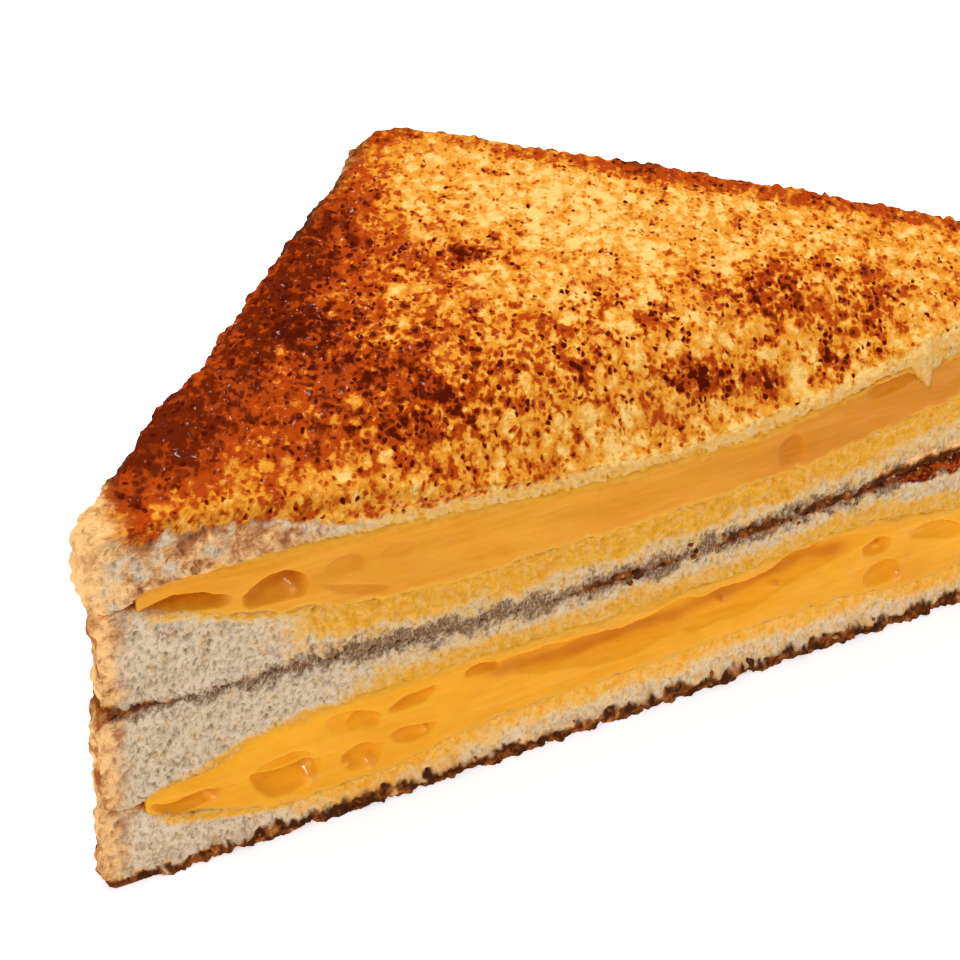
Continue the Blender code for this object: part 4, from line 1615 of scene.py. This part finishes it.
class SANDWICH_OT_cheese(bpy.types.Operator):
    """Build the two fillings of melted cheese"""

    bl_idname = "sandwich.cheese"
    bl_label = "Cheese Fillings"

    def execute(self, context):
        sizes, colours = context.scene.sandwich_sizes, context.scene.sandwich_colours
        for half, roughness in (("upper", 0.34), ("lower", 0.24)):
            own = [getattr(colours, f"{half}_{part}") for part in ("cheese", "streak", "hollow")]
            shared = (colours.deep_cheese_and_lip_shade, colours.soaked_crumb)
            cheese = cheese_material(f"{half.title()} cheese", *own, *shared, roughness)
            filling_of_cheese(f"{half}_cheese", sizes, cheese)
        return {"FINISHED"}


# Loose crumbs: the share that lies on the lower rim, how far they spread along the cut, the place from which
# the others lie on the seam, and the seed of each draw.
CRUMBS_ON_RIM = 0.4
CRUMBS_REACH = 66
CRUMBS_ON_SEAM_FROM = -12
CRUMBS_PLACE_SEED = 4
CRUMBS_SHAPE_SEED = 8


class SANDWICH_OT_crumbs(bpy.types.Operator):
    """Scatter small toasted crumbs along the seam and the lower rim of the cut"""

    bl_idname = "sandwich.crumbs"
    bl_label = "Toasted Crumbs"

    def execute(self, context):
        sizes, colours = context.scene.sandwich_sizes, context.scene.sandwich_colours
        random = np.random.default_rng(CRUMBS_PLACE_SEED)
        count = sizes.crumb_count
        at_rim = random.random(count) < CRUMBS_ON_RIM
        x = random.uniform(-CRUMBS_REACH, CRUMBS_REACH, count)
        x = np.where(at_rim, x, CRUMBS_ON_SEAM_FROM + np.abs(x) * 0.95)
        on_rim = random.uniform(0.3, 2.2, count)
        height = np.where(at_rim, on_rim, through(SEAM, x) + random.normal(0, 0.7, count))
        out = np.where(at_rim, random.uniform(-0.5, 0.2, count), random.uniform(0.0, 0.9, count))
        widths = sizes.crumb_size / MM * random.lognormal(-0.4, 0.4, count)
        places = np.stack([x, out, np.maximum(height, widths * 0.4)], axis=1)
        tones = random.uniform(0.5, 1.4, count)
        bread = bread_material("Loose crumbs", colours)
        crumbs("toasted_crumbs", places, widths, bread, tones, CRUMBS_SHAPE_SEED)
        return {"FINISHED"}


# The camera: its place in millimetres from the middle of the cut face, its turns in degrees, and its lens
# and sensor in millimetres.
CAMERA_PLACE = (-126.646, -161.811, 176.027)
CAMERA_YAW = 31.73
CAMERA_PITCH = 34.88
CAMERA_ROLL = 3.93
CAMERA_LENS = 78.83
SENSOR = 36.0
# The studio: half the width of its floor in metres, how much the floor and the surroundings shine, and its
# lights, each with its place in metres, its width and its power.
FLOOR_HALF = 3.0
FLOOR_GLOW = 0.66
WORLD_GLOW = 0.57
LIGHTS = {
    "Key": ((0.1, 0.4, 1.0), 0.6, 6.5),
    "Rim": ((0.45, 0.8, 0.65), 0.3, 2.0),
    "Fill": ((-0.9, -0.5, 0.7), 0.16, 2.7),
}


class SANDWICH_OT_stage(bpy.types.Operator):
    """Set up the floor, the soft studio light and the camera"""

    bl_idname = "sandwich.stage"
    bl_label = "Studio"

    def execute(self, context):
        scene = context.scene
        scene.view_settings.view_transform = "Standard"
        self.floor(scene, scene.sandwich_colours.floor)
        world = bpy.data.worlds.new("Studio")
        world.use_nodes = True
        background = world.node_tree.nodes["Background"]
        Wiring(world.node_tree).feed(background, {"Color": (1, 1, 1, 1), "Strength": WORLD_GLOW})
        scene.world = world
        for name, (place, size, power) in LIGHTS.items():
            self.light(scene, name, place, size, power)
        self.camera(scene)
        return {"FINISHED"}

    def floor(self, scene, colour):
        """A wide floor that glows a little, so that it stays pale."""
        mesh = bpy.data.meshes.new("studio_floor")
        corners = [(-1, -1, 0), (1, -1, 0), (1, 1, 0), (-1, 1, 0)]
        mesh.from_pydata([Vector(corner) * FLOOR_HALF for corner in corners], [], [(0, 1, 2, 3)])
        material, w, shader = new_material("Studio floor")
        w.feed(shader, {
            "Base Color": colour,
            "Roughness": 0.9,
            "Specular IOR Level": 0.1,
            "Emission Color": colour,
            "Emission Strength": FLOOR_GLOW,
        })
        mesh.materials.append(material)
        floor = bpy.data.objects.new("studio_floor", mesh)
        scene.collection.objects.link(floor)

    def light(self, scene, name, place, size, power):
        """A square lamp that faces the sandwich."""
        lamp = bpy.data.lights.new(name, "AREA")
        lamp.size = size
        lamp.energy = power
        made = bpy.data.objects.new(name, lamp)
        made.location = place
        made.rotation_euler = (-Vector(place)).to_track_quat("-Z", "Y").to_euler()
        scene.collection.objects.link(made)

    def camera(self, scene):
        """The camera, from its place and its three turns."""
        yaw, pitch, roll = (math.radians(angle) for angle in (CAMERA_YAW, CAMERA_PITCH, CAMERA_ROLL))
        level = math.cos(pitch)
        forward = Vector((math.sin(yaw) * level, math.cos(yaw) * level, -math.sin(pitch)))
        right = forward.cross(Vector((0, 0, 1))).normalized()
        up = right.cross(forward)
        across = right * math.cos(roll) + up * math.sin(roll)
        upright = up * math.cos(roll) - right * math.sin(roll)
        turn = Matrix((across, upright, -forward)).transposed()
        seen = bpy.data.cameras.new("Camera")
        seen.lens = CAMERA_LENS
        seen.sensor_width = SENSOR
        seen.clip_start = 0.01
        made = bpy.data.objects.new("Camera", seen)
        x, y, z = CAMERA_PLACE
        made.matrix_world = Matrix.Translation(Vector((x, y + CUT_Y, z)) * MM) @ turn.to_4x4()
        scene.collection.objects.link(made)
        scene.camera = made


class SANDWICH_PT_panel(bpy.types.Panel):
    """Everything that builds the sandwich"""

    bl_idname = "SANDWICH_PT_panel"
    bl_label = "Grilled Cheese Sandwich"
    bl_space_type = "VIEW_3D"
    bl_region_type = "UI"
    bl_category = "Sandwich"

    def draw(self, context):
        for operator in OPERATORS:
            self.layout.operator(operator.bl_idname)
        for group in (context.scene.sandwich_sizes, context.scene.sandwich_colours):
            box = self.layout.box()
            for name in group.__annotations__:
                box.prop(group, name)


OPERATORS = (SANDWICH_OT_bread, SANDWICH_OT_cheese, SANDWICH_OT_crumbs, SANDWICH_OT_stage)
CLASSES = (SandwichSizes, SandwichColours, *OPERATORS, SANDWICH_PT_panel)


def register():
    for item in CLASSES:
        bpy.utils.register_class(item)
    bpy.types.Scene.sandwich_sizes = PointerProperty(type=SandwichSizes)
    bpy.types.Scene.sandwich_colours = PointerProperty(type=SandwichColours)


def unregister():
    del bpy.types.Scene.sandwich_colours
    del bpy.types.Scene.sandwich_sizes
    for item in reversed(CLASSES):
        bpy.utils.unregister_class(item)


def main():
    register()
    bpy.ops.sandwich.bread()
    bpy.ops.sandwich.cheese()
    bpy.ops.sandwich.crumbs()
    bpy.ops.sandwich.stage()
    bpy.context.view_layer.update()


if __name__ == "__main__":
    main()
